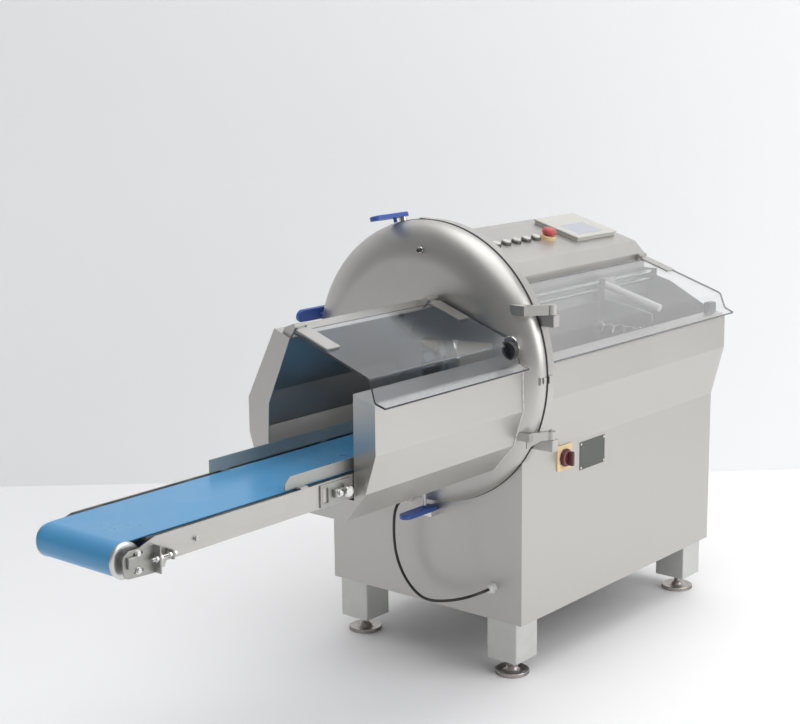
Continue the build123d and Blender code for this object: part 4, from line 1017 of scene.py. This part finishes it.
@dataclass
class Lid(Shop):
    """See-through lid with two front bends and a grip lip."""

    name: str
    line: Outline
    span: tuple[float, float]
    gauge: float
    sheet: Finish
    # Finish of the cut edges: a dark colour painted as shade.
    rim: Finish
    body: str
    slot: str
    notch: Point | None = None
    edge: float = 0.5
    notch_radius: float = 24.2
    notch_length: float = 40.0
    outer_bends: tuple[float, ...] = (0, 18.0, 6.0, 0)
    inner_bends: tuple[float, ...] = (0, 12.0, 12.0, 0)
    sideways: float = 0.7
    widest_edge: float = 0.01

    def build(self) -> None:
        """Fold the sheet, notch it for a knob if it has one, and give its cut edges a dark finish
        as painted shade.
        """
        outline = rounded(self.line, self.outer_bends)
        outline += rounded(beside(self.line, self.gauge), self.inner_bends)[::-1]
        lid = Bench.prism(f"{self.name}_folded", outline, self.span[1] - self.span[0],
                          (self.span[1], 0, 0), Way.SIDE, self.edge)
        if self.notch:
            radius, length = self.notch_radius, self.notch_length
            shape = Turning(((0, 0), (radius, 0), (radius, length), (0, length)), self.notch,
                            Way.X, 48)
            Bench.cut(lid, Bench.lathe("notch", shape))
        self.fit(lid, self.sheet, self.body, self.slot, self.name)
        # Cut edges get the dark rim finish: painted shade.
        lid.data.materials.append(self.paint.material(self.rim))
        ends = (Vector(at(0, *self.line[0])), Vector(at(0, *self.line[-1])))
        for face in lid.data.polygons:
            near = min(math.hypot(face.center.y - end.y, face.center.z - end.z) for end in ends)
            cut_end = near < self.gauge / 1000 and face.area < self.widest_edge
            if abs(face.normal.x) > self.sideways or cut_end:
                face.material_index = 1


@dataclass
class Console(Shop):
    """Controls on the sloping console and on the cabinet's front.

    The panel's boxes count from the console's fold, along its slope and off its sheet.
    """

    fold: Point = (0.0, 28.0, 1096.0)
    estop_place: tuple[float, float] = (673, 57)
    estop: Outline = ((0, 7.5), (12.5, 7.5), (12.5, 16.5), (20, 17), (22, 19), (22, 24),
                      (20.5, 29), (16, 33), (8, 34.8), (0, 35))
    panel_base: Box = Box((755, 3, 0), (965, 169, 8.6), 2.0)
    panel_seal: Box = Box((757, 5, 8.4), (963, 167, 10), 0.4)
    panel_bezel: Box = Box((752, 0, 9.8), (968, 172, 16), 2.0)
    panel_window: Box = Box((782, 17, 14.3), (915, 98, 20), 0.5)
    switch: Turning = Turning((
        (0, 0), (24.5, 0), (24.5, 6), (22.5, 9.5), (16, 11), (15, 13.5), (0, 14.5)),
        (197, -309.3, 591), Way.MINUS_Y, 64)
    switch_grip: Box = Box((191, -338.3, 571), (203, -321.3, 611), 3.5)
    switch_painted_sheen_ring: Turning = Turning((
        (17, 10), (20.5, 10), (20.5, 11.2), (17, 12.2), (17, 10)),
        (197, -309.3, 591), Way.MINUS_Y, 64)
    lid_switch: Box = Box((935, -331.5, 886.5), (971, -308.5, 919.5), 2.0)
    nameplate: Box = Box((274, -307.4, 537), (398, -305.8, 616), 0.5)
    rivet: Outline = ((0, 0), (3.4, 0), (3.0, 1.2), (1.8, 1.9), (0, 2.1))
    rivets_at: Outline = ((279, 543), (279, 610), (393, 543), (393, 610))
    rivet_y: float = -307.3

    def on_slope(self, x: float, along: float) -> Point:
        """A point on the console's sheet, from the distance along its slope."""
        return (x, self.fold[1] + along * math.cos(SLOPE), self.fold[2] + along * math.sin(SLOPE))

    def build(self) -> None:
        """Make every piece of the controls."""
        shape = Turning(self.estop, self.on_slope(*self.estop_place), Way.CONSOLE, 64)
        self.fit(Bench.lathe("estop_mushroom", shape), RED, "estop", "red_plastic", "estop_head")
        self.make_panel()
        self.make_switch()
        self.fit(Bench.block("lid_switch", self.lid_switch), DARK_GREY, "cabinet",
                 "black_plastic")
        self.make_nameplate()

    def make_panel(self) -> None:
        """Housing of the control panel: base, seal and bezel with the screen's window."""
        base, seal, bezel, window = (
            Bench.block(name, box, self.fold, Way.CONSOLE) for name, box in (
                ("panel_base", self.panel_base), ("panel_seal", self.panel_seal),
                ("panel_bezel", self.panel_bezel), ("window", self.panel_window)))
        Bench.cut(bezel, window)
        self.fit(base, CREAM, "cabinet", "grey_plastic", "hmi_housing")
        self.fit(seal, RUBBER, "cabinet", "black_rubber")
        self.fit(bezel, CREAM, "cabinet", "grey_plastic")

    def make_switch(self) -> None:
        """Scalloped main switch knob with its grip bar, and a lighter red ring on its shoulder as
        painted sheen.
        """
        knob = Bench.lathe("collar", self.switch)
        Bench.scallop(knob, self.switch, count=10, ring=27.5, radius=4.8, height=20.0)
        knob = Bench.join("switch_knob_shaped", [knob, Bench.block("grip", self.switch_grip)])
        self.fit(knob, DARK_RED, "switch_knob", "red_plastic", "main_switch_knob")
        # Lighter red ring on the knob's shoulder: painted sheen on the same red plastic.
        ring = Bench.lathe("switch_painted_sheen_ring", self.switch_painted_sheen_ring)
        self.fit(ring, RED_PAINTED_SHEEN, "switch_knob", "red_plastic")

    def make_nameplate(self) -> None:
        """Bare plate on the cabinet's front with four rivets."""
        plate = Bench.block("bare_plate", self.nameplate)
        self.fit(plate, PLATE, "cabinet", "black_plastic")
        rivets = [Bench.lathe("rivet", Turning(self.rivet, (x, self.rivet_y, z), Way.MINUS_Y, 24))
                  for x, z in self.rivets_at]
        self.fit(Bench.join("plate_rivets", rivets), WHITE, "cabinet", "bright_steel")


@dataclass
class Feet(Shop):
    """Four levelling feet with serrated rims, threaded spindles and lock nuts."""

    centres_x: tuple[float, float] = (57.5, 942.5)
    centres_y: tuple[float, float] = (-236.5, 297.5)
    rim: float = 47.5
    disc: Outline = (
        (0, 0), (45.5, 0), (47.5, 1.2), (47.5, 9.5), (45.5, 11), (40, 11), (35, 8.5), (26, 8),
        (20, 11), (17, 16), (14, 21), (12, 22), (0, 22))
    teeth: int = 60
    tooth_root: float = 0.955
    spindle: tuple[float, float, float] = (10.0, 63.0, 2.5)
    spindle_z: float = 21.5
    nut_size: tuple[float, float] = (32.0, 8.0)
    nut_z: float = 39.5

    def build(self) -> None:
        """Make one foot and copy it to the other corners."""
        x, y = self.centres_x[0], self.centres_y[0]
        disc = Bench.lathe("foot", Turning(self.disc, (x, y, 0), Way.Z, self.teeth * 2))
        centre = Vector(at(x, y, 0))
        for vertex in disc.data.vertices:
            away = Vector((vertex.co.x - centre.x, vertex.co.y - centre.y))
            tooth = round(math.atan2(away.y, away.x) / math.tau * self.teeth * 2)
            if away.length > (self.rim - 0.5) / 1000 and tooth % 2:
                vertex.co.x = centre.x + away.x * self.tooth_root
                vertex.co.y = centre.y + away.y * self.tooth_root
        thread = Turning(threaded(*self.spindle), (x, y, self.spindle_z), Way.Z, 32)
        nut = Bench.hex_head("nut", *self.nut_size, (x, y, self.nut_z), Way.Z)
        first = Bench.join("levelling_foot_1", [disc, Bench.lathe("spindle", thread), nut])
        feet = [first]
        for move_x in (0.0, self.centres_x[1] - x):
            for move_y in (0.0, self.centres_y[1] - y):
                if move_x or move_y:
                    foot = stand(f"levelling_foot_{len(feet) + 1}", first.data.copy())
                    foot.data.transform(Matrix.Translation((move_x / 1000, move_y / 1000, 0)))
                    feet.append(foot)
        for index, foot in enumerate(feet):
            self.fit(foot, FOOT, "cabinet", "bright_steel", "" if index else "levelling_feet")


@dataclass
class Cable(Shop):
    """Cable that hangs in a bow between the two glands."""

    radius: float = 4.0
    length: float = 0.589
    route: tuple[Point, ...] = (
        (-22.0, -213.8, 254.3), (-66.0, -213.8, 254.3), (-92.0, -178.0, 240.0),
        (-84.0, -116.0, 218.0), (-70.0, -55.0, 201.0), (-58.0, -6.0, 200.0),
        (-52.0, 38.0, 224.0), (-50.0, 68.0, 260.0), (-50.0, 85.0, 300.0),
        (-54.0, 88.0, 343.0), (-60.0, 84.0, 384.0), (-64.0, 77.0, 430.0),
        (-44.0, 76.0, 456.0), (-22.0, 76.0, 456.0))

    def build(self) -> None:
        """Make the cable as one smooth spline."""
        curve = bpy.data.curves.new("hanging_cable", "CURVE")
        curve.dimensions = "3D"
        curve.bevel_depth = self.radius / 1000
        curve.bevel_resolution = 6
        curve.resolution_u = 12
        curve.use_fill_caps = True
        spline = curve.splines.new("NURBS")
        spline.points.add(len(self.route) - 1)
        for point, place in zip(spline.points, self.route):
            point.co = (*at(*place), 1.0)
        spline.order_u = 3
        spline.use_endpoint_u = True
        piece = stand("hanging_cable", curve)
        piece.data.materials.append(self.paint.material(CABLE_SKIN))
        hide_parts("conveyor_cable")
        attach(piece, "cabinet")
        LOG.info("cable of %.2f m", self.length)


@dataclass(frozen=True)
class SoftBox:
    """A square light: where it hangs and what it faces in metres, its size and its power."""

    name: str
    place: Point
    aim: Point
    size: float
    power: float


@dataclass
class Studio:
    """Floor, wall, light and camera."""

    floor_size: float = 30.0
    floor_color: Point = (0.92, 0.915, 0.92)
    wall_place: tuple[float, float] = (2.60, 0.16)
    wall_turn: float = math.radians(-47.6)
    wall_size: Point = (26.0, 0.05, 7.0)
    wall_color: Point = (0.80, 0.81, 0.82)
    wall_glow: float = 0.14
    soft_boxes: tuple[SoftBox, ...] = (
        SoftBox("overhead", (0.6, -0.4, 4.4), (0.1, 0.0, 0.6), 3.6, 30.0),
        SoftBox("front", (1.6, -4.6, 2.6), (0.2, 0.0, 0.7), 3.4, 105.0))
    sky_light: float = 1.45
    sky_angle: float = math.radians(70.0)
    sky_turn: Point = (math.radians(12.0), math.radians(-8.0), 0.0)
    room_light: float = 0.22
    room_color: Point = (0.93, 0.94, 0.96)
    camera_place: Point = (-3.0813, -2.6336, 1.6913)
    yaw: float = math.radians(40.115)
    pitch: float = math.radians(11.378)
    roll: float = math.radians(-0.623)
    lens: float = 70.887
    sensor: float = 36.0

    def build(self) -> None:
        """Set the whole studio."""
        self.lay_floor()
        self.stand_wall()
        self.hang_lights()
        self.place_camera()

    @staticmethod
    def matt(name: str, color: Point, glow: float) -> Material:
        """A plain matt studio surface that may glow a little."""
        material = bpy.data.materials.new(name)
        material.use_nodes = True
        tree = material.node_tree
        feed(tree, tree.nodes["Principled BSDF"], {
            "Base Color": (*color, 1.0), "Roughness": 0.6,
            "Emission Color": (1.0, 1.0, 1.0, 1.0), "Emission Strength": glow})
        return material

    def lay_floor(self) -> None:
        """Plain pale floor."""
        Bench.clear()
        bpy.ops.mesh.primitive_plane_add(size=self.floor_size, location=(0, 0, 0))
        floor = bpy.context.object
        floor.name = "studio_floor"
        floor.data.materials.append(self.matt("pale_floor", self.floor_color, 0.0))

    def stand_wall(self) -> None:
        """Plain pale wall behind the machine."""
        Bench.clear()
        place = (*self.wall_place, self.wall_size[2] / 2)
        bpy.ops.mesh.primitive_cube_add(size=1.0, location=place, rotation=(0, 0, self.wall_turn))
        wall = bpy.context.object
        wall.name = "studio_wall"
        wall.scale = self.wall_size
        Bench.take(wall)
        Bench.apply()
        wall.data.materials.append(self.matt("pale_wall", self.wall_color, self.wall_glow))

    def hang_lights(self) -> None:
        """Soft boxes over and in front of the machine, a wide sky and a pale surround."""
        for box in self.soft_boxes:
            data = bpy.data.lights.new(box.name, "AREA")
            data.shape = "SQUARE"
            data.size = box.size
            data.energy = box.power
            light = stand(box.name, data)
            light.location = box.place
            ahead = Vector(box.aim) - Vector(box.place)
            light.rotation_euler = ahead.to_track_quat("-Z", "Y").to_euler()
        sky = bpy.data.lights.new("sky", "SUN")
        sky.energy = self.sky_light
        sky.angle = self.sky_angle
        stand("sky", sky).rotation_euler = self.sky_turn
        world = bpy.data.worlds.new("pale_room")
        world.use_nodes = True
        tree = world.node_tree
        feed(tree, tree.nodes["Background"], {"Color": (*self.room_color, 1.0),
                                              "Strength": self.room_light})
        bpy.context.scene.world = world
        bpy.context.scene.view_settings.view_transform = "Standard"

    def place_camera(self) -> None:
        """Camera at the photograph's angle."""
        ahead = Vector((math.cos(self.pitch) * math.cos(self.yaw),
                        math.cos(self.pitch) * math.sin(self.yaw), -math.sin(self.pitch)))
        right = Vector((math.sin(self.yaw), -math.cos(self.yaw), 0.0))
        up = right.cross(ahead)
        turned_right = right * math.cos(self.roll) + up * math.sin(self.roll)
        turned_up = up * math.cos(self.roll) - right * math.sin(self.roll)
        rows = Matrix((turned_right, turned_up, -ahead)).transposed().to_4x4()
        data = bpy.data.cameras.new("photo_view")
        data.lens = self.lens
        data.sensor_width = self.sensor
        data.sensor_fit = "HORIZONTAL"
        camera = stand("photo_view", data)
        camera.matrix_world = Matrix.Translation(self.camera_place) @ rows
        bpy.context.scene.camera = camera


def dress_nodes(paint: Paintbox) -> None:
    """Give every node of the frame its finish."""
    for name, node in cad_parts.items():
        paint.dress(node, NODE_FINISH[name])


def main() -> None:
    """Build the dressed slicer in its studio."""
    logging.basicConfig(level=logging.INFO, format="%(name)s: %(message)s")
    paint = Paintbox(Effects())
    Studio().build()
    Cable(paint).build()
    dress_nodes(paint)
    hood_lid = Lid(paint, "hood_lid",
                   ((-101.0, 1034.8), (-337.0, 951.0), (-352.0, 898.0), (-381.0, 890.0)),
                   (-630.0, -72.0), 5.0, SMOKED, SMOKED_EDGE_PAINTED_SHADE, "hood_cover", "tinted_sheet",
                   (-110.0, -337.0, 935.0))
    infeed_lid = Lid(paint, "infeed_lid",
                     ((-77.0, 1031.0), (-333.0, 945.0), (-350.0, 902.0), (-378.0, 890.0)),
                     (41.0, 995.0), 6.0, CLEAR, CLEAR_EDGE_PAINTED_SHADE, "infeed_cover", "clear_sheet")
    for assembly in (Drum(paint), Tensioner(paint, -1), Tensioner(paint, 1), Outfeed(paint),
                     hood_lid, infeed_lid, Console(paint), Feet(paint)):
        assembly.build()


if __name__ == "__main__":
    main()
